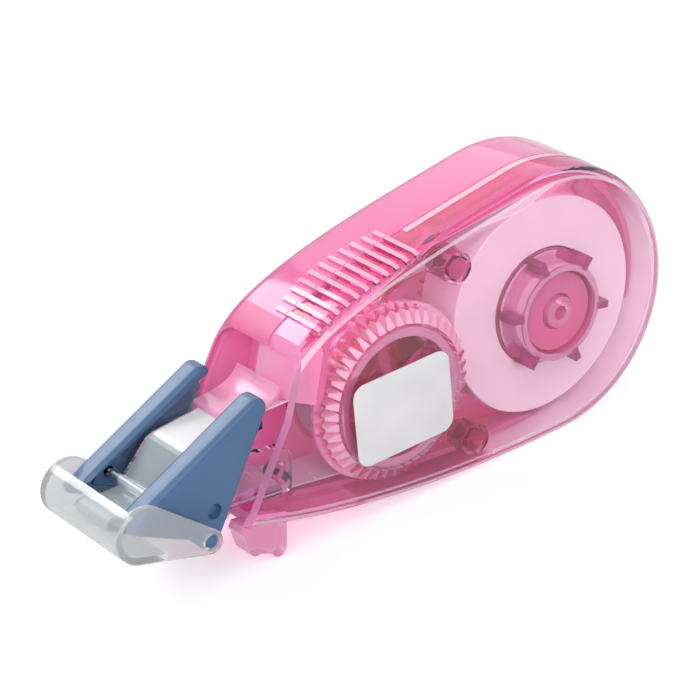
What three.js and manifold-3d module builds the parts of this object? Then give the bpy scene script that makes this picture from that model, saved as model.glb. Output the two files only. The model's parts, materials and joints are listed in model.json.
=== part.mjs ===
// Correction tape: a pocket dispenser with two reels, a slip clutch and a gear train in a clear drop-shaped
// housing, a writing head between two side guards, and a hinged cap over its tip.
// Sizes are in millimetres. X runs to the rear, Y to the far side and Z up, from the axis of the supply reel.
import * as THREE from 'three';
import { mergeVertices } from 'three/addons/utils/BufferGeometryUtils.js';
import Module from 'manifold-3d';

// Tape, core and roll
const tapeWidth = 5;
const tapeThick = 0.2;
const rollRadius = 11.4;
const rollBore = 6.22;
const coreWall = 0.55;

// Housing, built round the roll: the room beside the tape and outside the roll, and the walls
const sideRoom = 2.95;
const sideWall = 1.0;
const rollRoom = 1.95;
const rimWall = 0.9;
const partingY = -1.05;
const partingGap = 0.1;
const edgeRound = 1.6;
const bodyWidth = tapeWidth + 2 * (sideRoom + sideWall);
const rearRadius = rollRadius + rollRoom + rimWall;
const rearCentre = new THREE.Vector2(-0.9, 1.1);
const topArcEnd = 105;
const bottomArcEnd = -83;
const noseRoom = 6.07;
const noseLean = 26;
const noseTop = 1.8;
const noseBottom = -11.3;
const noseBend = 1.5;
const roofHandle = new THREE.Vector2(8.7, 2.33);
const browAt = new THREE.Vector2(3.9, 4.1);
const browHandle = new THREE.Vector2(6, 3.9);
const bridgeHandle = new THREE.Vector2(1.7, 1.1);
const toeFall = 0.19;
const toeFlat = 6;
const toeHandle = 8.5;
const bellyHandle = new THREE.Vector2(14, 1.72);
const coverSetback = 2.2;
const coverTopSetback = 1.0;
const coverBend = -2.0;
const lipSetback = 9;

// Mouth in the nose, and the ridged wall that stands behind its upper part
const mouthHalf = 5.2;
const mouthTop = 4.2;
const mouthBottom = -10.9;
const mouthCorner = 1.6;
const ridgeSweep = 3.4;
const ridgeWall = 0.8;
const ridgeBottom = -1.3;
const ridgeLean = 0.18;

// Grip ribs across the top
const gripCount = 11;
const gripPitch = 1.25;
const gripWidth = 0.5;
const gripHeight = 0.28;
const gripSetback = 5.4;
const gripFarLength = 2.7;
const gripNearEdge = 0.5;

// Feet under the nose
const footSetback = 6.9;
const footSpread = 2.6;
const footStep = 0.9;
const footDrop = 3.2;
const footLobe = 0.8;
const footThick = 2.6;
const footInset = 0.6;

// Gear train
const gearModule = 0.4;
const supplyTeeth = 48;
const idlerTeeth = 14;
const takeupTeeth = 26;
const gearFace = 1.6;
const gearStandoff = 0.6;
const toothThinning = 0.12;
const reelLineFall = 9.7;

// Supply hub and clutch ring
const clutchRadius = 5.07;
const clutchWall = 0.75;
const clawCount = 6;
const clawTip = 6.3;
const clawWidth = 0.75;
const hubWall = 0.8;
const hubFloor = 0.6;
const driverWidth = 0.8;
const driverRub = 0.15;

// Axle posts and bosses moulded on the shells
const axleRadius = 1.65;
const axleBore = 0.75;
const axleBoreDepth = 2.5;
const axleCollar = 0.9;
const idlerAxle = 1.0;
const idlerBore = 1.25;
const postRadius = 0.8;
const bossWall = 0.55;
const bossInsert = 0.4;
const guideReach = 4.447;
const guideAngle = 148.416;
const snapReach = 3.804;
const snapAngle = 224.2;
const snapCollar = 1.2;

// Take-up reel
const drumWall = 0.8;
const flangeRadius = 9.12;
const flangeThick = 0.4;
const rimRoot = 7.1;
const rimInner = 6.2;
const rimTip = 8.05;
const rimTeeth = 44;
const spokeCount = 5;
const spokeWidth = 1.1;
const windingDepth = 0.5;
const windingRoom = 0.33;

// Head, with its places measured from the foot of the nose line
const guardOuter = 5.7;
const guardPlate = 0.9;
const guardFlange = 2.45;
const guardRound = 0.5;
const guardRise = 1.45;
const guardTopRear = new THREE.Vector2(0.95, 3.0);
const guardTopFront = new THREE.Vector2(-13.9, -6.0);
const guardNose = new THREE.Vector2(-16.8, -8.0);
const flangeDrop = 0.9;
const flangeRunOut = 5;
const frameWall = 0.8;
const frameTopRear = -1.1;
const frameTopFront = -13.1;
const frameBrow = -14.1;
const frameBelly = -8.2;
const frameFloorFront = -5.7;
const frameTail = 2.7;
const frameDepth = 4.6;
const pinUnder = 1.0;
const tonguePlate = 0.8;
const crestAt = new THREE.Vector2(-7.8, -3.9);
const valleyAt = new THREE.Vector2(-11.6, -8.2);
const tipAt = new THREE.Vector2(-15.5, -8.9);
const tipRadius = 0.4;
const holdBar = 0.6;
const barAhead = 0.5;
const studAhead = 3.0;
const studShare = 0.65;
const pegAt = new THREE.Vector2(1.0, -7.3);
const pegRadius = 0.8;
const headPinAt = new THREE.Vector2(-6.7, -8.7);
const headPin = 0.55;
const headPinSink = 0.55;

// Cap, measured from the same place
const capPivot = new THREE.Vector2(-7.6, -11.3);
const capFront = new THREE.Vector2(-15.1, -8.2);
const capRadius = 2.9;
const capTail = 1.25;
const capWall = 0.7;
const capArm = 0.65;
const capStud = 0.6;
const capLip = 115;
const capFloor = 3.2;

// Clearances
const seatGap = 0.3;
const runGap = 0.25;
const tapeGap = 0.3;

const wasm = await Module();
wasm.setup();

const degrees = THREE.MathUtils.degToRad;
const halfWidth = bodyWidth / 2;
const nearInner = -(halfWidth - sideWall);
const farInner = halfWidth - sideWall;
const tapeHalf = tapeWidth / 2;
const gearInner = tapeHalf + gearStandoff;
const gearOuter = gearInner + gearFace;
const besideTape = -tapeHalf - seatGap;
const tapeLift = tapeGap + tapeThick / 2;
const guideRadius = postRadius + seatGap + bossWall;

// The three wheels stand on one line that falls towards the nose, and the nose clears the front reel
const reelLine = degrees(180 + reelLineFall);
const supplyPitch = (gearModule * supplyTeeth) / 2;
const idlerPitch = (gearModule * idlerTeeth) / 2;
const takeupPitch = (gearModule * takeupTeeth) / 2;
const supplyAt = new THREE.Vector2(0, 0);
const idlerAt = onCircle(supplyAt, supplyPitch + idlerPitch, reelLine);
const takeupAt = onCircle(supplyAt, supplyPitch + 2 * idlerPitch + takeupPitch, reelLine);
const noseReach = flangeRadius + noseRoom - takeupAt.x;
[
  guardTopRear, guardTopFront, guardNose, crestAt, valleyAt, tipAt, pegAt, headPinAt, capPivot, capFront,
].forEach((place) => place.setX(place.x - noseReach));
const guideAt = onCircle(supplyAt, rollRadius + guideReach, degrees(guideAngle));
const snapAt = onCircle(supplyAt, rollRadius + snapReach, degrees(snapAngle));

// Solids: closed geometry in, closed geometry out
function solid(geometry) {
  const bare = geometry.clone();
  bare.deleteAttribute('normal');
  bare.deleteAttribute('uv');
  const merged = mergeVertices(bare, 1e-4);
  return new wasm.Manifold(new wasm.Mesh({
    numProp: 3,
    vertProperties: merged.attributes.position.array,
    triVerts: new Uint32Array(merged.index.array),
  }));
}

function join(...solids) {
  return solids.reduce((all, one) => all.add(one));
}

function cut(from, ...tools) {
  return tools.reduce((left, tool) => left.subtract(tool), from);
}

function piece(name, body, material) {
  const raw = body.getMesh();
  const geometry = new THREE.BufferGeometry();
  geometry.setAttribute('position', new THREE.BufferAttribute(new Float32Array(raw.vertProperties), 3));
  geometry.setIndex(new THREE.BufferAttribute(new Uint32Array(raw.triVerts), 1));
  geometry.computeVertexNormals();
  const mesh = new THREE.Mesh(geometry, material);
  mesh.name = name;
  return mesh;
}

// The points of an outline, without those that fall on one another
function distinct(points) {
  const apart = 0.02;
  const kept = points.filter((point, i) => i === 0 || point.distanceTo(points[i - 1]) > apart);
  while (kept[0].distanceTo(kept[kept.length - 1]) < apart) kept.pop();
  return kept;
}

// A side profile, drawn in X and Z, standing between two values of Y
function prism(shape, fromY, toY, round = 0, curveSegments = 4, bevelSegments = 3) {
  const depth = toY - fromY - 2 * round;
  const geometry = new THREE.ExtrudeGeometry(new THREE.Shape(distinct(shape.getPoints(curveSegments))), {
    depth,
    bevelEnabled: round > 0,
    bevelThickness: round,
    bevelSize: round,
    bevelOffset: -round,
    bevelSegments,
  });
  geometry.rotateX(Math.PI / 2);
  geometry.translate(0, toY - round, 0);
  return solid(geometry);
}

function rod(radius, fromY, toY, at, segments = 28) {
  const geometry = new THREE.CylinderGeometry(radius, radius, toY - fromY, segments);
  geometry.translate(at.x, (fromY + toY) / 2, at.y);
  return solid(geometry);
}

function block(fromX, toX, fromY, toY, fromZ, toZ) {
  const geometry = new THREE.BoxGeometry(toX - fromX, toY - fromY, toZ - fromZ);
  geometry.translate((fromX + toX) / 2, (fromY + toY) / 2, (fromZ + toZ) / 2);
  return solid(geometry);
}

// A closed profile of radius and Y, turned about an axis along Y
function turned(profile, at, segments = 48) {
  const points = profile.map(([radius, y]) => new THREE.Vector2(radius, y));
  if (THREE.ShapeUtils.area(points) < 0) points.reverse();
  points.push(points[0].clone());
  const geometry = new THREE.LatheGeometry(points, segments);
  geometry.translate(at.x, 0, at.y);
  return solid(geometry);
}

// The arc that rounds the corner between two straight lines
function fillet(corner, before, after, radius) {
  const back = before.clone().sub(corner).normalize();
  const ahead = after.clone().sub(corner).normalize();
  const half = Math.acos(THREE.MathUtils.clamp(back.dot(ahead), -1, 1)) / 2;
  const start = corner.clone().addScaledVector(back, radius / Math.tan(half));
  const end = corner.clone().addScaledVector(ahead, radius / Math.tan(half));
  const middle = back.clone().add(ahead).normalize();
  const centre = corner.clone().addScaledVector(middle, radius / Math.sin(half));
  const clockwise = back.cross(ahead) > 0;
  return { start, end, centre, radius, clockwise };
}

function addFillet(shape, round) {
  const { start, end, centre, radius, clockwise } = round;
  shape.lineTo(start.x, start.y);
  if (radius > 0) {
    const fromAngle = start.clone().sub(centre).angle();
    const toAngle = end.clone().sub(centre).angle();
    shape.absarc(centre.x, centre.y, radius, fromAngle, toAngle, clockwise);
  }
}

// A polygon whose corners, each with X, Z and a radius, are rounded by arcs
function roundedShape(corners) {
  const shape = new THREE.Shape();
  const at = corners.map(([x, z]) => new THREE.Vector2(x, z));
  corners.forEach(([, , radius], i) => {
    const round = fillet(at[i], at[(i + at.length - 1) % at.length], at[(i + 1) % at.length], radius);
    if (i === 0) shape.moveTo(round.start.x, round.start.y);
    addFillet(shape, round);
  });
  shape.closePath();
  return shape;
}

// A closed outline moved inwards, or outwards where the distance is negative
function inset(points, distance) {
  const closed = distinct(points);
  const turn = THREE.ShapeUtils.area(closed) > 0 ? 1 : -1;
  return closed.map((point, i) => {
    const before = point.clone().sub(closed[(i + closed.length - 1) % closed.length]).normalize();
    const after = closed[(i + 1) % closed.length].clone().sub(point).normalize();
    const normal = new THREE.Vector2(-before.y - after.y, before.x + after.x);
    normal.multiplyScalar(turn).normalize();
    const mitre = Math.max(0.5, normal.x * -before.y * turn + normal.y * before.x * turn);
    return point.clone().addScaledVector(normal, distance / mitre);
  });
}

// The drop-shaped side outline of the housing
function noseX(z, behind = 0) {
  return -noseReach + Math.tan(degrees(noseLean)) * z + behind / Math.cos(degrees(noseLean));
}

function onRear(angle, radius = rearRadius) {
  return new THREE.Vector2(
    rearCentre.x + radius * Math.cos(degrees(angle)),
    rearCentre.y + radius * Math.sin(degrees(angle)),
  );
}

function bodyOutline() {
  const top = onRear(topArcEnd);
  const bottom = onRear(bottomArcEnd);
  const brow = new THREE.Vector2(noseX(noseTop) + browAt.x, noseTop + browAt.y);
  const toe = new THREE.Vector2(noseX(noseBottom), noseBottom);
  const toeBack = new THREE.Vector2(toe.x + toeFlat, toe.y - toeFlat * toeFall);
  const noseStart = new THREE.Vector2(noseX(noseTop), noseTop);
  const shape = new THREE.Shape();
  shape.moveTo(bottom.x, bottom.y);
  shape.absarc(rearCentre.x, rearCentre.y, rearRadius, degrees(bottomArcEnd), degrees(topArcEnd), false);
  shape.bezierCurveTo(
    top.x - roofHandle.x, top.y - roofHandle.y,
    brow.x + browHandle.x, brow.y + browHandle.y,
    brow.x, brow.y,
  );
  shape.bezierCurveTo(
    brow.x - bridgeHandle.x, brow.y - bridgeHandle.y,
    noseX(noseTop + noseBend), noseTop + noseBend,
    noseStart.x, noseStart.y,
  );
  addFillet(shape, fillet(toe, noseStart, toeBack, edgeRound + 0.4));
  shape.bezierCurveTo(
    toeBack.x + toeHandle, toeBack.y - toeHandle * toeFall,
    bottom.x - bellyHandle.x, bottom.y - bellyHandle.y,
    bottom.x, bottom.y,
  );
  return shape;
}

const outlinePoints = distinct(bodyOutline().getPoints(8));

function bodySolid(shrink, round, bevelSegments = 3) {
  const shape = new THREE.Shape(inset(outlinePoints, shrink + 1e-4));
  const half = halfWidth - (shrink > 0 ? sideWall : shrink);
  return prism(shape, -half, half, round, 4, bevelSegments);
}

// Everything behind a line that runs parallel to the nose
function behindNose(distance, fromY, toY) {
  const reach = 2 * noseReach;
  return prism(new THREE.Shape([
    new THREE.Vector2(noseX(-reach, distance), -reach),
    new THREE.Vector2(reach, -reach),
    new THREE.Vector2(reach, reach),
    new THREE.Vector2(noseX(reach, distance), reach),
  ]), fromY, toY);
}

// The arched mouth, drawn on the leaning nose face
function mouthCutter() {
  const lean = degrees(noseLean);
  const top = mouthTop / Math.cos(lean);
  const bottom = mouthBottom / Math.cos(lean);
  const geometry = new THREE.ExtrudeGeometry(roundedShape([
    [-mouthHalf, bottom, 0.6],
    [mouthHalf, bottom, 0.6],
    [mouthHalf, top, mouthCorner],
    [-mouthHalf, top, mouthCorner],
  ]), { depth: 5.2, bevelEnabled: false, curveSegments: 3 });
  geometry.translate(0, 0, -2);
  const basis = new THREE.Matrix4().makeBasis(
    new THREE.Vector3(0, 1, 0),
    new THREE.Vector3(Math.sin(lean), 0, Math.cos(lean)),
    new THREE.Vector3(Math.cos(lean), 0, -Math.sin(lean)),
  );
  basis.setPosition(noseX(0), 0, 0);
  geometry.applyMatrix4(basis);
  return solid(geometry);
}

// The wall behind the mouth's upper part, with a ridge down its middle and its flanks swept back
function ridgedWall() {
  const front = noseX(mouthTop) + 1.0;
  const side = farInner + 0.2;
  const height = mouthTop + 0.7 - ridgeBottom;
  const shape = new THREE.Shape();
  shape.moveTo(front + ridgeSweep, -side);
  shape.lineTo(front + 0.25, -0.5);
  shape.quadraticCurveTo(front, 0, front + 0.25, 0.5);
  shape.lineTo(front + ridgeSweep, side);
  shape.lineTo(front + ridgeSweep + ridgeWall, side);
  shape.lineTo(front + ridgeWall + 0.2, 0);
  shape.lineTo(front + ridgeSweep + ridgeWall, -side);
  shape.closePath();
  const geometry = new THREE.ExtrudeGeometry(shape, { depth: height, bevelEnabled: false, curveSegments: 4 });
  const slope = new THREE.Matrix4().makeShear(0, 0, 0, 0, 0, 0);
  slope.elements[8] = ridgeLean;
  geometry.translate(0, 0, -height);
  geometry.applyMatrix4(slope);
  geometry.translate(0, 0, mouthTop + 0.7);
  const wall = solid(geometry);
  const farSide = block(-2 * noseReach, 0, partingY + partingGap, farInner + 0.1, -noseReach, noseReach);
  const nearSide = block(-2 * noseReach, 0, nearInner + seatGap, partingY + 1, -noseReach, noseReach);
  return join(
    wall.intersect(farSide).intersect(bodySolid(0, edgeRound)),
    wall.intersect(nearSide).intersect(bodySolid(rimWall + seatGap, 0.6, 1)),
  );
}

// Ribs across the top for the finger, cut as slices of a slightly larger housing
function gripRibs(fromY, toY) {
  const skin = cut(bodySolid(-gripHeight, edgeRound), bodySolid(0.05, edgeRound));
  const roofEnd = onRear(topArcEnd).x;
  const start = outlinePoints.filter((p) => p.y > 0 && p.x < roofEnd).sort((a, b) => a.x - b.x);
  const heightAt = (x) => {
    const i = Math.max(1, start.findIndex((p) => p.x >= x));
    const [a, b] = [start[i - 1], start[i]];
    return { z: a.y + ((b.y - a.y) * (x - a.x)) / (b.x - a.x), slope: Math.atan2(b.y - a.y, b.x - a.x) };
  };
  let x = -noseReach + gripSetback;
  const ribs = [];
  for (let i = 0; i < gripCount; i += 1) {
    const { z, slope } = heightAt(x);
    const u = (2 * i) / (gripCount - 1) - 1;
    const farEnd = Math.min(toY, partingY + gripFarLength * (1 - 0.35 * u * u));
    const geometry = new THREE.BoxGeometry(gripWidth, farEnd - fromY, 3.2);
    geometry.translate(0, (farEnd + fromY) / 2, 0);
    geometry.rotateY(-slope);
    geometry.translate(x, 0, z);
    ribs.push(skin.intersect(solid(geometry)));
    x += gripPitch * Math.cos(slope);
  }
  return ribs;
}

// A lobed foot under one side of the nose: two round lobes, the rear one lower, on a web
const footTop = noseBottom - toeFall * footSetback;
const rearLobe = new THREE.Vector2(
  noseX(noseBottom) + footSetback - footLobe,
  footTop - footDrop + footLobe,
);
const frontLobe = new THREE.Vector2(rearLobe.x - footSpread, rearLobe.y + footStep);

function foot(fromY, toY) {
  const rooted = footTop + 0.8;
  const web = new THREE.Shape([
    new THREE.Vector2(frontLobe.x - 2.2 * footLobe, rooted + 0.2),
    new THREE.Vector2(frontLobe.x - 0.8 * footLobe, frontLobe.y - 0.6 * footLobe),
    new THREE.Vector2(frontLobe.x + 0.6 * footLobe, frontLobe.y - 0.8 * footLobe),
    new THREE.Vector2(rearLobe.x - 0.9 * footLobe, rearLobe.y - 0.2 * footLobe),
    new THREE.Vector2(rearLobe.x + footLobe, rearLobe.y),
    new THREE.Vector2(rearLobe.x + footLobe, rooted),
  ]);
  return join(
    prism(web, fromY, toY),
    rod(footLobe, fromY, toY, frontLobe, 20),
    rod(footLobe, fromY, toY, rearLobe, 20),
  );
}

// Spur wheel with involute flanks, a tooth or a gap centred on the given angle
function gearWheel(teeth, at, facing, toothThere, fromY, toY) {
  const pitch = (gearModule * teeth) / 2;
  const base = pitch * Math.cos(degrees(20));
  const tip = pitch + 0.8 * gearModule;
  const root = pitch - 1.1 * gearModule;
  const involute = (radius) => {
    const a = Math.acos(Math.min(1, base / radius));
    return Math.tan(a) - a;
  };
  const halfAtPitch = (Math.PI * gearModule) / 2 / 2 - toothThinning / 2;
  const halfAngle = (radius) => halfAtPitch / pitch + involute(pitch) - involute(radius);
  const start = Math.max(base, root + 0.02);
  const radii = [0, 1, 2].map((i) => start + ((tip - start) * i) / 2);
  const shape = new THREE.Shape();
  const step = (2 * Math.PI) / teeth;
  const first = facing + (toothThere ? 0 : step / 2);
  for (let i = 0; i < teeth; i += 1) {
    const centre = first + i * step;
    const rootHalf = halfAngle(start);
    const flank = [[root, -rootHalf], ...radii.map((r) => [r, -halfAngle(r)])];
    const other = flank.slice().reverse().map(([r, a]) => [r, -a]);
    [...flank, ...other].forEach(([r, a], j) => {
      const x = at.x + r * Math.cos(centre + a);
      const y = at.y + r * Math.sin(centre + a);
      if (i === 0 && j === 0) shape.moveTo(x, y);
      else shape.lineTo(x, y);
    });
  }
  shape.closePath();
  return prism(shape, fromY, toY);
}

// Housing halves: the cover is all of the near side, set back behind the mouth
function coverRegion() {
  const reach = 2 * noseReach;
  return prism(new THREE.Shape([
    new THREE.Vector2(noseX(-reach, coverSetback), -reach),
    new THREE.Vector2(reach, -reach),
    new THREE.Vector2(reach, reach),
    new THREE.Vector2(noseX(reach, coverTopSetback), reach),
    new THREE.Vector2(noseX(mouthTop, coverTopSetback), mouthTop),
    new THREE.Vector2(noseX(coverBend, coverSetback), coverBend),
  ]), -halfWidth - 1, partingY);
}

function housing() {
  const reach = 2 * noseReach;
  const walls = cut(bodySolid(0, edgeRound), bodySolid(rimWall, 0.6, 1), mouthCutter());
  const nearHalf = block(-reach, reach, -halfWidth - 1, partingY + partingGap, -reach, reach);
  return { near: walls.intersect(coverRegion()), far: cut(walls, nearHalf) };
}

function axlePost(at) {
  const tipY = nearInner + seatGap;
  return cut(
    join(
      rod(axleRadius, tipY, farInner + 0.2, at),
      rod(axleRadius + axleCollar, gearOuter + seatGap, farInner + 0.2, at),
    ),
    rod(axleBore, tipY - 1, tipY + axleBoreDepth, at, 20),
  );
}

// A lip on the far shell that locates the cover, left out where a reel needs the room
function locatingLip() {
  const outer = new THREE.Shape(inset(outlinePoints, rimWall + 0.25));
  const inner = new THREE.Shape(inset(outlinePoints, rimWall + 0.85));
  const band = cut(prism(outer, partingY - 1.3, partingY + 1.5), prism(inner, partingY - 3, partingY + 3));
  const root = cut(
    prism(new THREE.Shape(inset(outlinePoints, rimWall - 0.1)), partingY + 0.9, partingY + 1.5),
    prism(inner, partingY - 3, partingY + 3),
  );
  return cut(
    join(band, root).intersect(behindNose(lipSetback, -halfWidth, halfWidth)),
    rod(rollRadius + 0.5, -halfWidth, halfWidth, supplyAt, 48),
    rod(flangeRadius + 0.4, -halfWidth, halfWidth, takeupAt, 48),
    rod(guideRadius + 3 * tapeLift, -halfWidth, halfWidth, guideAt, 32),
    mouthCutter(),
  );
}

function farShell(walls) {
  const idlerPost = join(
    rod(idlerAxle, gearInner + runGap, farInner + 0.2, idlerAt, 20),
    rod(idlerAxle + 0.7, gearOuter + seatGap, farInner + 0.2, idlerAt, 20),
  );
  const bossReach = besideTape - bossInsert;
  const footY = halfWidth - footInset;
  let shell = join(
    walls,
    ridgedWall(),
    axlePost(supplyAt),
    axlePost(takeupAt),
    idlerPost,
    rod(postRadius, bossReach, farInner + 0.2, guideAt, 20),
    rod(postRadius, bossReach, farInner + 0.2, snapAt, 20),
    rod(postRadius + 0.9, snapCollar, farInner + 0.2, snapAt, 24),
    rod(pegRadius, frameOuter - frameWall - 0.1, farInner + 0.2, pegAt, 20),
    locatingLip(),
  );
  shell = join(shell, foot(footY - footThick, footY));
  return join(shell, ...gripRibs(partingY + partingGap, halfWidth));
}

function nearShell(walls) {
  const bossHole = postRadius + seatGap;
  const boss = (at) => cut(
    rod(bossHole + bossWall, nearInner - 0.2, besideTape, at, 24),
    rod(bossHole, nearInner + 0.1, besideTape + 1, at, 24),
  );
  const footY = -halfWidth + footInset;
  const shell = join(
    walls,
    boss(guideAt),
    boss(snapAt),
    rod(pegRadius, nearInner - 0.2, -(frameOuter - frameWall - 0.1), pegAt, 20),
  );
  const added = join(foot(footY, footY + footThick), ...gripRibs(-halfWidth + gripNearEdge, partingY));
  return join(shell, added.intersect(coverRegion()));
}

// Supply wheel: gear, web and hub in one, with drivers that turn the tape core
const hubRadius = clutchRadius - clutchWall - runGap;
const coreBore = rollBore - seatGap / 2 - coreWall;
const clutchFront = nearInner + 0.2;
const clawDepth = besideTape - clutchFront;

function supplyGear() {
  const front = clutchFront + 0.6;
  const floorHole = axleRadius + runGap;
  const hub = turned([
    [floorHole, front],
    [hubRadius, front],
    [hubRadius, gearInner],
    [supplyPitch - 1.6, gearInner],
    [supplyPitch - 1.6, gearInner + 0.7],
    [hubRadius - hubWall, gearInner + 0.7],
    [hubRadius - hubWall, front + hubFloor],
    [floorHole, front + hubFloor],
  ], supplyAt);
  const rim = cut(
    gearWheel(supplyTeeth, supplyAt, reelLine, true, gearInner, gearOuter),
    rod(supplyPitch - 1.7, gearInner - 1, gearOuter + 1, supplyAt, 64),
  );
  const drivers = [];
  const driverTip = coreBore - driverRub;
  const driverRoot = hubRadius - hubWall / 2;
  for (let i = 0; i < clawCount; i += 1) {
    const geometry = new THREE.BoxGeometry(driverTip - driverRoot, gearInner + tapeHalf - 0.2, driverWidth);
    geometry.translate((driverTip + driverRoot) / 2, (gearInner - tapeHalf + 0.4) / 2, 0);
    geometry.rotateY((i * 2 * Math.PI) / clawCount + 0.35);
    drivers.push(solid(geometry));
  }
  return join(hub, rim, ...drivers);
}

// Clutch ring: six claws on a ring bear on the side of the roll
function clutchRing() {
  const back = besideTape;
  const inner = clutchRadius - clutchWall;
  const ring = turned([
    [inner, clutchFront],
    [clutchRadius, clutchFront],
    [clutchRadius, back - 0.35],
    [rollBore - 0.25, back - 0.35],
    [rollBore - 0.25, back],
    [inner, back],
  ], supplyAt);
  const claws = [];
  for (let i = 0; i < clawCount; i += 1) {
    const length = clawTip - clutchRadius + 0.3;
    const geometry = new THREE.BoxGeometry(length, clawDepth, clawWidth);
    geometry.translate(clawTip - length / 2, clutchFront + clawDepth / 2, 0);
    geometry.rotateY((i * 2 * Math.PI) / clawCount + degrees(6));
    claws.push(solid(geometry));
  }
  return join(ring, ...claws);
}

function tube(outer, inner, fromY, toY, at, segments = 64) {
  return turned([
    [inner, fromY],
    [inner, toY],
    [outer, toY],
    [outer, fromY],
  ], at, segments);
}

function idlerGear() {
  const shiftY = 0.25;
  return cut(
    gearWheel(idlerTeeth, idlerAt, reelLine, false, gearInner + shiftY, gearOuter),
    rod(idlerBore, gearInner - 1, gearOuter + 1, idlerAt, 24),
  );
}

// The tape drops from the guide roller to the foot of the ridged wall, and the drum fills the room it leaves
function tapeDrop() {
  const wallFoot = noseX(ridgeBottom) + ridgeSweep + 2 * ridgeWall;
  const underWall = new THREE.Vector2(wallFoot, ridgeBottom - tapeLift);
  const off = tangentAngle(underWall, guideAt, guideRadius + tapeLift, -1);
  return { underWall, off, start: onCircle(guideAt, guideRadius + tapeLift, off) };
}

const drop = tapeDrop();
const dropLine = drop.underWall.clone().sub(drop.start).normalize();
const dropApart = Math.abs(takeupAt.clone().sub(drop.start).cross(dropLine));
const windingOuter = dropApart - tapeThick / 2 - windingRoom;
const drumRadius = windingOuter - windingDepth - seatGap;

// Take-up reel: a drum with its gear on the far side, and a near flange with a toothed rim
function takeupDrum() {
  const near = -tapeHalf - 0.15;
  const far = tapeHalf + 0.25;
  const bore = axleRadius + runGap;
  const drum = turned([
    [bore, near],
    [bore + 0.8, near],
    [bore + 0.8, far],
    [drumRadius - drumWall, far],
    [drumRadius - drumWall, near],
    [drumRadius, near],
    [drumRadius, far],
    [drumRadius + 1.1, far],
    [drumRadius + 1.1, far + 0.3],
    [takeupPitch - 1.2, far + 0.3],
    [takeupPitch - 1.2, gearInner + 0.9],
    [bore, gearInner + 0.9],
  ], takeupAt);
  const gear = cut(
    gearWheel(takeupTeeth, takeupAt, reelLine + Math.PI, true, far + 0.2, gearOuter),
    rod(takeupPitch - 1.3, far - 1, gearOuter + 1, takeupAt, 32),
  );
  return join(drum, gear);
}

function takeupFlange() {
  const front = nearInner + 0.35;
  const inside = -tapeHalf - 0.15 - seatGap;
  const plateNear = inside - flangeThick;
  const bore = axleRadius + runGap;
  const plate = tube(flangeRadius, rimInner - 0.3, plateNear, inside, takeupAt, 56);
  const hub = tube(bore + 0.9, bore, front, inside, takeupAt, 32);
  const shape = new THREE.Shape();
  const step = (2 * Math.PI) / rimTeeth;
  for (let i = 0; i < rimTeeth; i += 1) {
    const corners = [[rimRoot, -0.36], [rimTip, -0.14], [rimTip, 0.14], [rimRoot, 0.36]];
    corners.forEach(([r, a], j) => {
      const angle = (i + a) * step;
      const x = takeupAt.x + r * Math.cos(angle);
      const y = takeupAt.y + r * Math.sin(angle);
      if (i === 0 && j === 0) shape.moveTo(x, y);
      else shape.lineTo(x, y);
    });
  }
  shape.closePath();
  const rim = cut(
    prism(shape, front, plateNear + 0.1),
    rod(rimInner, front - 1, plateNear + 1, takeupAt, 40),
  );
  const spokes = [];
  for (let i = 0; i < spokeCount; i += 1) {
    const length = rimInner + 0.3 - bore - 0.4;
    const geometry = new THREE.BoxGeometry(length, inside - plateNear + 0.5, spokeWidth);
    geometry.translate(bore + 0.4 + length / 2, (inside + plateNear - 0.5) / 2, 0);
    geometry.rotateY(-degrees(68) - (i * 2 * Math.PI) / spokeCount);
    geometry.translate(takeupAt.x, 0, takeupAt.y);
    spokes.push(solid(geometry));
  }
  return join(plate, hub, rim, ...spokes);
}

// An open route moved sideways, to its left where the distance is positive
function beside(route, distance) {
  return route.map((point, i) => {
    const before = point.clone().sub(route[Math.max(0, i - 1)]).normalize();
    const after = route[Math.min(route.length - 1, i + 1)].clone().sub(point).normalize();
    const along = before.clone().add(after).normalize();
    const mitre = Math.max(before.length() ? before.dot(along) : 1, 0.5);
    return new THREE.Vector2(point.x - (along.y * distance) / mitre, point.y + (along.x * distance) / mitre);
  });
}

// A thin band of even thickness that follows a route in the side view
function band(route, thick, fromY, toY) {
  const left = beside(route, thick / 2);
  const right = beside(route, -thick / 2);
  return prism(new THREE.Shape([...left, ...right.reverse()]), fromY, toY);
}

// Point where a line from outside touches a circle, and the arc of a circle between two angles
function tangentAngle(from, centre, radius, side) {
  const apart = from.clone().sub(centre);
  return apart.angle() + side * Math.acos(Math.min(1, radius / apart.length()));
}

function onCircle(centre, radius, angle) {
  return new THREE.Vector2(centre.x + radius * Math.cos(angle), centre.y + radius * Math.sin(angle));
}

function arcPoints(centre, radius, from, to, count) {
  const angle = (i) => from + ((to - from) * i) / count;
  return Array.from({ length: count + 1 }, (_, i) => onCircle(centre, radius, angle(i)));
}

// Head frame, tongue and guards
const guardInner = guardOuter - guardPlate;
const frameOuter = guardInner - seatGap;
const topSlope = (guardTopRear.y - guardTopFront.y) / (guardTopRear.x - guardTopFront.x);
const guardTop = (x) => guardTopRear.y + topSlope * (x - guardTopRear.x);
const flangeShare = (x) => (guardTopRear.x - x) / (guardTopRear.x - guardTopFront.x);
const flangeBottom = (x) => guardTop(x) - guardRise * (1 - 0.6 * flangeShare(x));

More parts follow.
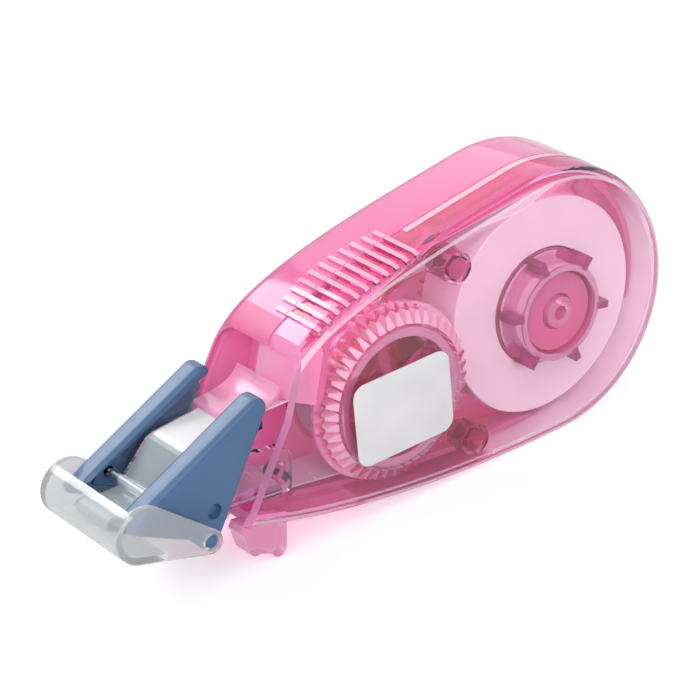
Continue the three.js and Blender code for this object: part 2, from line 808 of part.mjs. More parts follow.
function guardShape() {
  const rearTop = [noseX(guardTopRear.y - 0.4, -seatGap), guardTopRear.y, 1.1];
  const rearLow = [noseX(capPivot.y + 0.3, -seatGap), capPivot.y + 0.3, 0.8];
  return roundedShape([
    rearTop,
    [guardTopFront.x, guardTopFront.y, 1.0],
    [guardNose.x, guardNose.y, guardRound + 0.3],
    [capPivot.x - 1.9, capPivot.y + 0.5, guardRound + 0.3],
    [capPivot.x - 0.3, capPivot.y - 1.1, guardRound + 0.2],
    [capPivot.x + 1.0, capPivot.y - 0.9, guardRound + 0.1],
    rearLow,
  ]);
}

function guard(side) {
  const shape = guardShape();
  const inner = guardOuter - guardFlange;
  const full = prism(shape, inner, guardOuter, guardRound, 3);
  const front = guardTopFront.x - 0.4;
  const pocket = prism(new THREE.Shape([
    new THREE.Vector2(0, flangeBottom(0)),
    new THREE.Vector2(front, flangeBottom(front)),
    new THREE.Vector2(front - flangeRunOut, flangeBottom(front) - flangeDrop),
    new THREE.Vector2(front - flangeRunOut, -noseReach),
    new THREE.Vector2(0, -noseReach),
  ]), inner - 1, guardInner);
  const stud = rod(capStud, guardInner, capOuter - 0.1, capPivot, 20);
  const made = cut(
    join(cut(full, pocket), stud),
    rod(headPin + runGap, guardInner - 1, guardOuter + 1, headPinAt, 20),
  );
  return side > 0 ? made : made.mirror([0, 1, 0]);
}

function tongueTop() {
  return [
    new THREE.Vector2(noseX(-2.3) + 1.6, -2.4),
    new THREE.Vector2(crestAt.x + 0.6, crestAt.y + 0.12),
    new THREE.Vector2(crestAt.x - 0.3, crestAt.y - 0.25),
    valleyAt.clone(),
    new THREE.Vector2(tipAt.x, tipAt.y + tipRadius),
  ];
}

function tongueHeight(x) {
  const top = tongueTop();
  const i = Math.max(1, top.findIndex((p) => p.x <= x));
  const [a, b] = [top[i - 1], top[i]];
  return a.y + ((b.y - a.y) * (x - a.x)) / (b.x - a.x);
}

// A short pin that ties one guard to the head frame
function headPinSolid(side) {
  const made = rod(headPin, frameOuter - frameWall, guardOuter - headPinSink, headPinAt, 20);
  return side > 0 ? made : made.mirror([0, 1, 0]);
}

function tipTongue() {
  const top = tongueTop();
  const half = frameOuter - frameWall - seatGap;
  const shape = new THREE.Shape();
  shape.moveTo(top[0].x, top[0].y);
  top.slice(1).forEach((p) => shape.lineTo(p.x, p.y));
  shape.absarc(tipAt.x, tipAt.y, tipRadius, Math.PI / 2, 1.5 * Math.PI, false);
  shape.lineTo(valleyAt.x + 0.3, valleyAt.y - tonguePlate - 0.1);
  shape.lineTo(valleyAt.x + 1.1, valleyAt.y - tonguePlate + 0.5);
  shape.lineTo(crestAt.x + 0.7, crestAt.y - 1.2);
  shape.lineTo(top[0].x, top[0].y - tonguePlate);
  shape.closePath();
  return prism(shape, -half, half, 0, 4);
}

function headFrame() {
  const wallTop = (x) => flangeBottom(x) - seatGap;
  const [topRear, topFront, brow, belly, floorFront, tail] = [
    frameTopRear, frameTopFront, frameBrow, frameBelly, frameFloorFront, frameTail,
  ].map((place) => place - noseReach);
  const low = headPinAt.y - pinUnder;
  const side = roundedShape([
    [topRear, wallTop(topRear), 0.4],
    [topFront, wallTop(topFront), 0.4],
    [brow, wallTop(topFront) - 1.0, 0.3],
    [belly, low, 0.5],
    [tail, low, 0.6],
    [tail, low + frameDepth, 1.2],
    [noseX(low + frameDepth, -0.8), low + frameDepth + 0.4, 0.3],
  ]);
  const wall = prism(side, frameOuter - frameWall, frameOuter);
  const far = cut(
    wall,
    rod(headPin + runGap, 0, guardOuter, headPinAt, 20),
    rod(pegRadius + runGap, 0, guardOuter, pegAt, 20),
  );
  const near = far.mirror([0, 1, 0]);
  const span = frameOuter - frameWall + 0.1;
  const floor = block(floorFront, tail - 0.9, -span, span, low + 0.12, low + 0.12 + frameWall);
  const barAt = new THREE.Vector2(valleyAt.x - barAhead, valleyAt.y + 2.6 * tapeGap + tapeThick + holdBar);
  const bar = rod(holdBar, -span, span, barAt, 16);
  const studX = crestAt.x - studAhead;
  const studRoom = flangeBottom(studX) - tongueHeight(studX);
  const studAt = new THREE.Vector2(studX, tongueHeight(studX) + studRoom / 2);
  const stud = rod((studRoom / 2) * studShare - seatGap, -span, -span + 0.9, studAt, 16);
  return join(far, near, floor, bar, stud);
}

// Tape from the roll over the guide roller to the tip, and film from the tip back to the take-up reel
function tapeRoute() {
  const liftedRoll = rollRadius + tapeLift;
  const liftedGuide = guideRadius + tapeLift;
  const apart = guideAt.clone().sub(supplyAt);
  const leave = apart.angle() - Math.acos((liftedRoll - liftedGuide) / apart.length());
  const { underWall, off } = drop;
  const onTongue = beside(tongueTop(), -tapeLift).slice(0, -1);
  return [
    onCircle(supplyAt, liftedRoll, leave),
    ...arcPoints(guideAt, liftedGuide, leave, off + (off < leave ? 2 * Math.PI : 0), 4),
    underWall,
    ...onTongue,
    ...arcPoints(tipAt, tipRadius + tapeLift, Math.PI / 2 + 0.1, Math.PI, 3),
  ];
}

function filmRoute() {
  const arrive = onCircle(tipAt, tipRadius + tapeLift, Math.PI + 0.5);
  const under = onCircle(tipAt, tipRadius + tapeLift, 1.5 * Math.PI);
  const underTongue = Math.min(under.y, valleyAt.y - tonguePlate - 0.1 - tapeLift);
  const low = new THREE.Vector2(valleyAt.x + 1.5, underTongue);
  const mid = new THREE.Vector2(headPinAt.x, headPinAt.y - pinUnder - tapeLift);
  const touch = tangentAngle(mid, takeupAt, windingOuter + tapeLift, 1);
  return [
    arrive,
    onCircle(tipAt, tipRadius + tapeLift, Math.PI + 1.05),
    under,
    low,
    mid,
    onCircle(takeupAt, windingOuter + tapeLift, touch),
  ];
}

// Cap: two tapered arms with a half-round hood between them
const capInner = guardOuter + runGap;
const capOuter = capInner + capArm;

function capTaper() {
  const along = capPivot.clone().sub(capFront);
  return { heading: along.angle(), spread: Math.acos((capRadius - capTail) / along.length()) };
}

function capArmShape() {
  const { heading, spread } = capTaper();
  const shape = new THREE.Shape();
  shape.absarc(capFront.x, capFront.y, capRadius, heading + spread, heading - spread + 2 * Math.PI, false);
  shape.absarc(capPivot.x, capPivot.y, capTail, heading - spread, heading + spread, false);
  shape.closePath();
  return shape;
}

function tipCap() {
  const armShape = capArmShape();
  const arm = cut(
    prism(armShape, capInner, capOuter, 0.2, 9),
    rod(capStud + runGap, capInner - 1, capOuter + 1, capPivot, 20),
  );
  const { heading, spread } = capTaper();
  const under = heading - spread;
  const lip = degrees(capLip);
  const outerEnd = onCircle(capFront, capRadius, under);
  const innerEnd = onCircle(capFront, capRadius - capWall, under);
  const along = onCircle(capPivot, capTail, under).sub(outerEnd).normalize();
  const hood = new THREE.Shape([
    ...arcPoints(capFront, capRadius, lip, under, 12),
    outerEnd.clone().addScaledVector(along, capFloor),
    innerEnd.clone().addScaledVector(along, capFloor),
    ...arcPoints(capFront, capRadius - capWall, under, lip, 10),
  ]);
  const bar = prism(hood, -capInner - 0.1, capInner + 0.1);
  return join(arm, arm.mirror([0, 1, 0]), bar);
}

// Materials
function plastic(colour, roughness, opacity = 1) {
  return new THREE.MeshStandardMaterial({
    color: colour, roughness, metalness: 0, opacity, transparent: opacity < 1,
  });
}

const clearPink = plastic(0xe86cab, 0.12, 0.45);
const deepPink = plastic(0xd9568f, 0.15, 0.6);
const clearGrey = plastic(0xdde3e8, 0.1, 0.4);
const steelBlue = plastic(0x4a74a0, 0.35);
const tapeWhite = plastic(0xf4f1f2, 0.6);
const filmWhite = plastic(0xe9edf0, 0.3, 0.5);

// Assembly
const shells = housing();
const body = new THREE.Group();
body.add(
  piece('far_shell', farShell(shells.far), clearPink),
  piece('near_shell', nearShell(shells.near), clearPink),
  piece('supply_gear', supplyGear(), deepPink),
  piece('clutch_ring', clutchRing(), deepPink),
  piece('tape_core', tube(rollBore - seatGap / 2, coreBore, -tapeHalf, tapeHalf, supplyAt), deepPink),
  piece('tape_roll', tube(rollRadius, rollBore, -tapeHalf, tapeHalf, supplyAt, 96), tapeWhite),
  piece('idler_gear', idlerGear(), deepPink),
  piece('takeup_drum', takeupDrum(), deepPink),
  piece('takeup_flange', takeupFlange(), deepPink),
  piece('film_winding', tube(windingOuter, drumRadius + seatGap, -tapeHalf, tapeHalf, takeupAt), filmWhite),
  piece('guide_roller', tube(guideRadius, postRadius + seatGap, -tapeHalf, tapeHalf, guideAt, 24), clearPink),
  piece('white_tape', band(tapeRoute(), tapeThick, -tapeHalf, tapeHalf), tapeWhite),
  piece('return_film', band(filmRoute(), tapeThick, -tapeHalf, tapeHalf), filmWhite),
  piece('head_frame', headFrame(), clearGrey),
  piece('tip_tongue', tipTongue(), clearGrey),
  piece('far_guard', guard(1), steelBlue),
  piece('near_guard', guard(-1), steelBlue),
  piece('far_head_pin', headPinSolid(1), steelBlue),
  piece('near_head_pin', headPinSolid(-1), steelBlue),
  piece('tip_cap', tipCap(), clearGrey),
);

// The housing stands on its feet and its round rear: turned so that their common tangent lies level
const toRear = rearCentre.clone().sub(rearLobe);
const tilt = toRear.angle() - Math.asin((rearRadius - footLobe) / toRear.length());
body.rotation.y = tilt;

// The origin is the bottom centre of the whole part
const part = new THREE.Group();
part.add(body);
body.updateMatrixWorld(true);
const bounds = new THREE.Box3().setFromObject(body, true);
body.position.set(
  -(bounds.min.x + bounds.max.x) / 2,
  -(bounds.min.y + bounds.max.y) / 2,
  -bounds.min.z,
);

export default part;
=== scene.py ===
# %% [markdown]
# A pocket correction tape in clear pink plastic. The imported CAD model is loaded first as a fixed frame,
# and every piece that is made here is placed in it.

# %% Load the frame
import json
import math
import bpy
from mathutils import Matrix, Vector


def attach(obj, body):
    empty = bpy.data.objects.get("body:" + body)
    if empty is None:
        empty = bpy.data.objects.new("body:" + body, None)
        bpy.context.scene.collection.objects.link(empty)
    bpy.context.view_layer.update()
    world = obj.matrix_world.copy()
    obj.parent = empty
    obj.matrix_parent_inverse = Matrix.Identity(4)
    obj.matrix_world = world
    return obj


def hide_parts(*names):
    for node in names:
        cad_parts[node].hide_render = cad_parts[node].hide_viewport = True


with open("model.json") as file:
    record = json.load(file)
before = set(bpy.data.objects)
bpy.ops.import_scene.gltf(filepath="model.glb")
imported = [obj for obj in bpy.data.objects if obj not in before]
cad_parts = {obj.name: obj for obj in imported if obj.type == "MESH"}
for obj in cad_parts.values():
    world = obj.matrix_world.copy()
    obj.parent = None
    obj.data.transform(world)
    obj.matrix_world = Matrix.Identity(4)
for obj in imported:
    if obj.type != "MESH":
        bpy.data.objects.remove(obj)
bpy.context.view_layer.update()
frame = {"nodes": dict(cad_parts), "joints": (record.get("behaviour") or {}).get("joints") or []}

# %% [markdown]
# The dispenser leans a little, because it stands on two small feet and on its round rear. It is easier to
# draw it level, in millimetres from the axis of the supply reel, as a designer would, and to lean the
# finished meshes. The lean comes from the line between the two reel axes.

# %% Lean of the dispenser
REEL_LINE_FALL = 9.7
MM = 0.001
joint_at = {joint["name"]: Vector(joint["pos_m"]) for joint in frame["joints"]}
supply_at = joint_at["supply_spin"]
takeup_at = joint_at["takeup_spin"]
between = takeup_at - supply_at
lean = math.radians(180 + REEL_LINE_FALL) - (math.atan2(between.z, between.x) % math.tau)
LEAN = Matrix.Translation(supply_at) @ Matrix.Rotation(lean, 4, "Y")
TO_FRAME = LEAN @ Matrix.Scale(MM, 4)
TO_BODY = TO_FRAME.inverted()
takeup = (TO_BODY @ takeup_at).xz
idler = (TO_BODY @ joint_at["idler_spin"]).xz
guide = (TO_BODY @ joint_at["guide_spin"]).xz
pivot = (TO_BODY @ joint_at["cap_hinge"]).xz
hub = Vector((0, 0))
print("lean in degrees:", round(math.degrees(lean), 2), "take-up axis:", takeup)

# %% [markdown]
# The camera stands where the photograph was taken: left of the nose, a little above, with a long lens.

# %% Camera
CAMERA_AZIMUTH = math.radians(-37.539)
CAMERA_ELEVATION = math.radians(24.593)
CAMERA_DISTANCE = 282.305
CAMERA_TARGET = Vector((-21.911, 0, 0.024))
CAMERA_LENS = 151.07
SENSOR_WIDTH = 36

back = Vector((
    math.sin(CAMERA_AZIMUTH) * math.cos(CAMERA_ELEVATION),
    -math.cos(CAMERA_AZIMUTH) * math.cos(CAMERA_ELEVATION),
    math.sin(CAMERA_ELEVATION),
))
right = Vector((math.cos(CAMERA_AZIMUTH), math.sin(CAMERA_AZIMUTH), 0))
up = back.cross(right)
camera_data = bpy.data.cameras.new("camera")
camera_data.lens = CAMERA_LENS
camera_data.sensor_width = SENSOR_WIDTH
camera_data.clip_start = 0.01
camera_data.clip_end = 20
camera = bpy.data.objects.new("camera", camera_data)
bpy.context.scene.collection.objects.link(camera)
turn = Matrix((right, up, back)).transposed().to_4x4()
camera.matrix_world = LEAN @ Matrix.Translation((CAMERA_TARGET + back * CAMERA_DISTANCE) * MM) @ turn
bpy.context.scene.camera = camera
print("camera at", camera.matrix_world.translation)

# %% [markdown]
# Every world, floor and plastic here is a small tree of nodes. Three helpers keep these trees readable: one
# empties a tree, one adds a node with its values, and one joins sockets.

# %% Node helpers


def empty_tree(owner):
    owner.use_nodes = True
    owner.node_tree.nodes.clear()
    return owner.node_tree


def add_node(tree, kind, inputs=None, **settings):
    node = tree.nodes.new(kind)
    for name, value in settings.items():
        setattr(node, name, value)
    for name, value in (inputs or {}).items():
        node.inputs[name].default_value = value
    return node


def wire(tree, *pairs):
    for source, target in pairs:
        tree.links.new(source, target)


print("node helpers ready")

# %% [markdown]
# Clear plastic shows its surroundings, so the studio is plain and white. The world is white where the camera,
# a mirror image or a look through plastic meets it, but lights the surfaces only weakly: the background stays
# white and the plastic keeps its colour.

# %% World
FILL_COLOUR = (0.97, 0.98, 1, 1)
FILL_STRENGTH = 0.45


def make_world():
    scene = bpy.context.scene
    scene.view_settings.view_transform = "Standard"
    scene.world = bpy.data.worlds.new("studio")
    tree = empty_tree(scene.world)
    path = add_node(tree, "ShaderNodeLightPath")
    seen = add_node(tree, "ShaderNodeMath", operation="MAXIMUM")
    seen_or_through = add_node(tree, "ShaderNodeMath", operation="MAXIMUM")
    white = add_node(tree, "ShaderNodeBackground", {"Color": (1, 1, 1, 1), "Strength": 1})
    fill = add_node(tree, "ShaderNodeBackground", {"Color": FILL_COLOUR, "Strength": FILL_STRENGTH})
    mix = add_node(tree, "ShaderNodeMixShader")
    out = add_node(tree, "ShaderNodeOutputWorld")
    wire(
        tree,
        (path.outputs["Is Camera Ray"], seen.inputs[0]),
        (path.outputs["Is Glossy Ray"], seen.inputs[1]),
        (seen.outputs[0], seen_or_through.inputs[0]),
        (path.outputs["Is Transmission Ray"], seen_or_through.inputs[1]),
        (seen_or_through.outputs[0], mix.inputs[0]),
        (fill.outputs[0], mix.inputs[1]),
        (white.outputs[0], mix.inputs[2]),
        (mix.outputs[0], out.inputs["Surface"]),
    )


make_world()
print("world:", bpy.context.scene.world.name)

# %% [markdown]
# The floor catches the shadow. For the camera alone it is lifted a little under the object and more far
# away, where the lamps hardly reach, so that it runs into the white background.

# %% Floor
FLOOR_SIZE = 6.0
FLOOR_COLOUR = (0.93, 0.93, 0.93, 1)
FLOOR_LIFT = {"From Min": 0.15, "From Max": 0.8, "To Min": 0.34, "To Max": 0.62}


def make_floor():
    half = FLOOR_SIZE / 2
    mesh = bpy.data.meshes.new("floor")
    corners = [(-half, -half, 0), (half, -half, 0), (half, half, 0), (-half, half, 0)]
    mesh.from_pydata(corners, [], [(0, 1, 2, 3)])
    floor = bpy.data.objects.new("floor", mesh)
    bpy.context.scene.collection.objects.link(floor)
    material = bpy.data.materials.new("pale_floor")
    tree = empty_tree(material)
    surface = add_node(tree, "ShaderNodeBsdfPrincipled", {
        "Base Color": FLOOR_COLOUR, "Roughness": 0.8, "Specular IOR Level": 0.1,
        "Emission Color": (1, 1, 1, 1),
    })
    place = add_node(tree, "ShaderNodeTexCoord")
    away = add_node(tree, "ShaderNodeVectorMath", operation="LENGTH")
    lift = add_node(tree, "ShaderNodeMapRange", FLOOR_LIFT)
    path = add_node(tree, "ShaderNodeLightPath")
    seen_lift = add_node(tree, "ShaderNodeMath", operation="MULTIPLY")
    out = add_node(tree, "ShaderNodeOutputMaterial")
    wire(
        tree,
        (place.outputs["Object"], away.inputs[0]),
        (away.outputs["Value"], lift.inputs["Value"]),
        (path.outputs["Is Camera Ray"], seen_lift.inputs[0]),
        (lift.outputs[0], seen_lift.inputs[1]),
        (seen_lift.outputs[0], surface.inputs["Emission Strength"]),
        (surface.outputs[0], out.inputs["Surface"]),
    )
    mesh.materials.append(material)


make_floor()
print("floor:", FLOOR_SIZE, "m square")

# %% [markdown]
# A large soft key lamp hangs at the upper left. A weak lamp behind gives the bright rims, one above the far
# side lights the top face, and one in front reaches into the near side.

# %% Lamps
LAMP_AIM = Vector((0, 0, 0.01))
LAMPS = {
    "key_lamp": ((-0.45, -0.25, 0.6), (0.5, 0.4), 2.1),
    "rim_lamp": ((0.35, 0.5, 0.45), (0.5, 0.35), 0.6),
    "roof_lamp": ((-0.12, 0.6, 0.56), (0.4, 0.26), 2.1),
    "front_lamp": ((-0.1, -0.7, 0.3), (0.4, 0.3), 1.05),
}


def make_lamp(name, place, size, watts):
    data = bpy.data.lights.new(name, "AREA")
    data.shape = "RECTANGLE"
    data.size, data.size_y = size
    data.energy = watts
    lamp = bpy.data.objects.new(name, data)
    bpy.context.scene.collection.objects.link(lamp)
    place = Vector(place)
    aim = (LAMP_AIM - place).to_track_quat("-Z", "Y")
    lamp.matrix_world = Matrix.Translation(place) @ aim.to_matrix().to_4x4()


for name, (place, size, watts) in LAMPS.items():
    make_lamp(name, place, size, watts)
print("lamps:", list(LAMPS))

# %% [markdown]
# Moulded plastic is never perfectly even. A shader node group adds what all the plastics here share: a
# faint ripple from the mould and fine handling marks, which change the roughness. It is built once and
# used with other values in each material.

# %% Handling marks shared by the plastics
MARK_SCALE = 900.0
MARK_INPUTS = {"Ripple Scale": 90.0, "Mark Scale": MARK_SCALE, "Smooth": 0.05, "Rough": 0.2}


def make_handling_marks():
    tree = bpy.data.node_groups.new("handling_marks", "ShaderNodeTree")
    for name, value in MARK_INPUTS.items():
        socket = tree.interface.new_socket(name=name, in_out="INPUT", socket_type="NodeSocketFloat")
        socket.default_value = value
    for name in ("Roughness", "Height"):
        tree.interface.new_socket(name=name, in_out="OUTPUT", socket_type="NodeSocketFloat")
    given = add_node(tree, "NodeGroupInput")
    result = add_node(tree, "NodeGroupOutput")
    place = add_node(tree, "ShaderNodeTexCoord")
    ripple = add_node(tree, "ShaderNodeTexNoise", {"Detail": 2})
    stretch = add_node(tree, "ShaderNodeMapping", {"Scale": (1, 0.25, 1)})
    marks = add_node(tree, "ShaderNodeTexNoise", {"Detail": 6, "Roughness": 0.7})
    pick = add_node(tree, "ShaderNodeMapRange", {"From Min": 0.5, "From Max": 0.8})
    wire(
        tree,
        (place.outputs["Object"], ripple.inputs["Vector"]),
        (given.outputs["Ripple Scale"], ripple.inputs["Scale"]),
        (place.outputs["Object"], stretch.inputs["Vector"]),
        (stretch.outputs[0], marks.inputs["Vector"]),
        (given.outputs["Mark Scale"], marks.inputs["Scale"]),
        (marks.outputs["Fac"], pick.inputs["Value"]),
        (given.outputs["Smooth"], pick.inputs["To Min"]),
        (given.outputs["Rough"], pick.inputs["To Max"]),
        (pick.outputs[0], result.inputs["Roughness"]),
        (ripple.outputs["Fac"], result.inputs["Height"]),
    )
    return tree


HANDLING_MARKS = make_handling_marks()
print("node group:", HANDLING_MARKS.name)

# %% [markdown]
# The plain plastic is one Principled shader with the group's roughness and a very low bump. On the real
# piece the roughness runs from a polished value to a handled one.

# %% Plain plastic
BUMP_REACH = 0.0003


def plastic(name, colour, smooth, rough, ripple=90.0, bump=0.02):
    material = bpy.data.materials.new(name)
    tree = empty_tree(material)
    surface = add_node(tree, "ShaderNodeBsdfPrincipled", {"Base Color": (*colour, 1)})
    wear = add_node(
        tree, "ShaderNodeGroup",
        {"Ripple Scale": ripple, "Mark Scale": MARK_SCALE, "Smooth": smooth, "Rough": rough},
        node_tree=HANDLING_MARKS,
    )
    lift = add_node(tree, "ShaderNodeBump", {"Strength": bump, "Distance": BUMP_REACH})
    out = add_node(tree, "ShaderNodeOutputMaterial")
    wire(
        tree,
        (wear.outputs["Roughness"], surface.inputs["Roughness"]),
        (wear.outputs["Height"], lift.inputs["Height"]),
        (lift.outputs[0], surface.inputs["Normal"]),
        (surface.outputs[0], out.inputs["Surface"]),
    )
    return material


def shader_of(material):
    return next(node for node in material.node_tree.nodes if node.type == "BSDF_PRINCIPLED")


print("plain plastic ready")

# %% [markdown]
# No moulding has one flat colour. It can vary in soft clouds, or change along a direction, as where a wall is
# seen through more and more plastic. On some pieces below, a change along a direction carries painted light
# and painted shade. Both read Object coordinates, so they stay with the piece.

# %% Colours that vary
CLOUD_SPAN = (0.35, 0.65)


def vary_colour(material, first, second, scale):
    tree = material.node_tree
    place = add_node(tree, "ShaderNodeTexCoord")
    noise = add_node(tree, "ShaderNodeTexNoise", {"Scale": scale, "Detail": 4})
    ramp = add_node(tree, "ShaderNodeValToRGB")
    for i, colour in enumerate((first, second)):
        ramp.color_ramp.elements[i].color = (*colour, 1)
        ramp.color_ramp.elements[i].position = CLOUD_SPAN[i]
    wire(
        tree,
        (place.outputs["Object"], noise.inputs["Vector"]),
        (noise.outputs["Fac"], ramp.inputs["Fac"]),
        (ramp.outputs["Color"], shader_of(material).inputs["Base Color"]),
    )


def colour_along(material, direction, *stops):
    tree = material.node_tree
    low, high = stops[0][0], stops[-1][0]
    place = add_node(tree, "ShaderNodeTexCoord")
    along = add_node(tree, "ShaderNodeVectorMath", {1: direction}, operation="DOT_PRODUCT")
    share = add_node(tree, "ShaderNodeMapRange", {"From Min": low * MM, "From Max": high * MM})
    ramp = add_node(tree, "ShaderNodeValToRGB")
    ramp.color_ramp.elements[0].color = (*stops[0][1], 1)
    ramp.color_ramp.elements[1].color = (*stops[-1][1], 1)
    for at_mm, colour in stops[1:-1]:
        ramp.color_ramp.elements.new((at_mm - low) / (high - low)).color = (*colour, 1)
    wire(
        tree,
        (place.outputs["Object"], along.inputs[0]),
        (along.outputs["Value"], share.inputs["Value"]),
        (share.outputs[0], ramp.inputs["Fac"]),
        (ramp.outputs["Color"], shader_of(material).inputs["Base Color"]),
    )


print("colour helpers ready")

# %% [markdown]
# Clear plastic could take its colour from the depth of its volume. That works on a piece of one material,
# and the grey clear pieces do it. The housing has several finishes on one closed skin, and there a volume
# leaks from one into the next, so the pinks carry their tint on the surface. A share of each shadow ray
# passes straight through, because light has to reach the reels inside.

# %% Clear plastic
CLEAR_IOR = 1.5
CLOUD_SCALE = 120
CLOUD_DEPTH = 0.98


def clear_plastic(name, tint, smooth, rough, clarity=1.0, lets_in=1.0, depth=None):
    material = plastic(name, tint, smooth, rough)
    tree = material.node_tree
    surface = shader_of(material)
    surface.inputs["Transmission Weight"].default_value = clarity
    surface.inputs["IOR"].default_value = CLEAR_IOR
    out = next(node for node in tree.nodes if node.type == "OUTPUT_MATERIAL")
    path = add_node(tree, "ShaderNodeLightPath")
    share = add_node(tree, "ShaderNodeMath", {1: lets_in}, operation="MULTIPLY")
    lit_through = add_node(tree, "ShaderNodeBsdfTransparent", {"Color": (*tint, 1)})
    mix = add_node(tree, "ShaderNodeMixShader")
    wire(
        tree,
        (path.outputs["Is Shadow Ray"], share.inputs[0]),
        (share.outputs[0], mix.inputs[0]),
        (surface.outputs[0], mix.inputs[1]),
        (lit_through.outputs[0], mix.inputs[2]),
        (mix.outputs[0], out.inputs["Surface"]),
    )
    if depth:
        colour, density = depth
        volume = add_node(tree, "ShaderNodeVolumeAbsorption", {"Color": (*colour, 1), "Density": density})
        wire(tree, (volume.outputs[0], out.inputs["Volume"]))
    vary_colour(material, tint, tuple(CLOUD_DEPTH * c for c in tint), CLOUD_SCALE)
    return material


print("clear plastic ready")

# %% [markdown]
# All the pinks are the same dyed plastic. A thin wall is pale and a wall seen lengthwise is deep rose.
# Several pinks are painted light and shade: a painted highlight on the rounded edges, the bead, the ribs and
# the teeth that face the lamp, painted light on the mouth wall, the foot and the low rim, and painted shade
# on the ends of the posts. The near cover is clear on its flat side and deep on its rim. The far half is
# milky, so that the reels stand out against it, and it is painted lighter towards its nose and its rear.

# %% Pinks
RIM_ROSE = (0.74, 0.15, 0.43)
CLEAR_PINK = clear_plastic("clear_pink", (1.0, 0.94, 0.975), 0.02, 0.08)
colour_along(CLEAR_PINK, (0, 1, 0), (-5.7, (1.0, 0.93, 0.97)), (-5.1, RIM_ROSE))
MILKY_PINK = clear_plastic("milky_pink", (0.97, 0.24, 0.56), 0.08, 0.2, 0.55, 0.8)
# Painted light: the far half turns paler towards the nose, as a painted sheen of the lamps on its roof, and
# paler towards the rear, where its inside is in shade.
colour_along(
    MILKY_PINK, (1, 0, 0), (-14, (0.98, 0.34, 0.64)), (-9, (0.90, 0.26, 0.57)), (6, (0.90, 0.27, 0.58)),
    (24, (0.97, 0.46, 0.71)),
)
DEEP_PINK = clear_plastic("deep_pink", (0.97, 0.20, 0.52), 0.05, 0.15, 0.7, 0.85)
HUB_PINK = clear_plastic("hub_pink", (1.0, 0.30, 0.64), 0.08, 0.2, 0.5, 0.9)
RING_PINK = clear_plastic("ring_pink", (0.60, 0.05, 0.31), 0.04, 0.12, 0.45, 0.5)
# Painted light: the wall in the mouth is drawn paler, as lit from above.
MOUTH_LIT_PINK = clear_plastic("mouth_lit_pink", (1.0, 0.50, 0.74), 0.12, 0.25, 0.3, 0.6)
EDGE_PINK = clear_plastic("edge_pink", (0.97, 0.36, 0.66), 0.1, 0.2, 0.25)
# Painted highlight for the faces of the teeth that look towards the lamp.
GLINT_PINK = clear_plastic("glint_pink", (1.0, 0.88, 0.95), 0.02, 0.06, 0.25)
# Painted highlight for the rounded near edge and the bead.
HIGHLIGHT_PINK = clear_plastic("highlight_pink", (1.0, 0.80, 0.90), 0.03, 0.1, 0.45)
BROW_PINK = clear_plastic("brow_pink", (0.72, 0.08, 0.30), 0.3, 0.45, 0.3)
# Painted light: the low rim is pale where the inside is in shade, and deepens upwards to rose.
LOW_RIM_LIT_PINK = clear_plastic("low_rim_lit_pink", (1.0, 0.88, 0.94), 0.05, 0.12, 0.6)
colour_along(LOW_RIM_LIT_PINK, (-0.62, 0, 1.05), (0, (1.0, 0.88, 0.94)), (8.3, RIM_ROSE))
# Painted shade: the ends of the posts are dark, as shade down their sockets.
POST_SHADE_PINK = clear_plastic("post_shade_pink", (0.30, 0.03, 0.15), 0.08, 0.15, 0.1)
# Painted light: the feet are drawn paler than the rest of the shell.
FOOT_LIT_PINK = clear_plastic("foot_lit_pink", (1.0, 0.62, 0.82), 0.03, 0.08, 0.75)
# Painted highlight on the grip ribs.
RIB_HIGHLIGHT_PINK = clear_plastic("rib_highlight_pink", (1.0, 0.66, 0.82), 0.05, 0.12, 0.4)
print("pinks:", len([m for m in bpy.data.materials if m.name.endswith("pink")]))

# %% [markdown]
# The tip is clear and grey, and the cap a little frosted. The guards are opaque steel blue. The tape has a
# matt coat. Ahead of the crest it is painted dark grey along the band, as painted shade where it drops
# steeply from the crest.

# %% Other finishes
TAPE_SHADE_EDGE = (-23.25, -23.05)
CLEAR_GREY = clear_plastic("clear_grey", (0.95, 0.96, 0.97), 0.05, 0.2, depth=((0.70, 0.76, 0.82), 130))
CAP_CLEAR = clear_plastic("cap_clear", (0.87, 0.875, 0.875), 0.12, 0.25, 0.8, depth=((0.70, 0.73, 0.76), 110))
STEEL_BLUE = plastic("steel_blue", (0.07, 0.155, 0.295), 0.3, 0.42, 60.0, 0.05)
vary_colour(STEEL_BLUE, (0.064, 0.148, 0.29), (0.077, 0.166, 0.312), 150)
TAPE_WHITE = plastic("tape_white", (0.9, 0.9, 0.9), 0.55, 0.7, 400.0, 0.1)
vary_colour(TAPE_WHITE, (0.93, 0.92, 0.92), (0.97, 0.96, 0.96), 300)
# Painted shade: the band turns dark grey ahead of the crest.
SHADED_TAPE = plastic("tape_with_painted_shade", (0.9, 0.9, 0.9), 0.3, 0.5, 400.0, 0.1)
colour_along(SHADED_TAPE, (1, 0, 0), (TAPE_SHADE_EDGE[0], (0.33, 0.38, 0.42)), (TAPE_SHADE_EDGE[1], (0.93, 0.94, 0.95)))
USED_FILM = plastic("used_film", (0.86, 0.88, 0.9), 0.2, 0.35, 300.0, 0.05)
vary_colour(USED_FILM, (0.82, 0.85, 0.88), (0.9, 0.92, 0.94), 250)
shader_of(USED_FILM).inputs["Transmission Weight"].default_value = 0.4
PLATE_WHITE = plastic("plate_white", (0.85, 0.85, 0.85), 0.3, 0.42, 500.0, 0.08)
vary_colour(PLATE_WHITE, (0.80, 0.80, 0.81), (0.86, 0.86, 0.87), 200)
print("materials:", [m.name for m in bpy.data.materials])

# %% [markdown]
# Every moulded piece starts as a side profile, a list of points in X and Z. Before any mesh is made, these
# helpers clean such a list, measure it and move it inwards, as a wall thickness or a rounding needs.

# %% Profiles
DRAWING = bpy.data.collections.new("drawing")
bpy.context.scene.collection.children.link(DRAWING)
APART = 1e-3


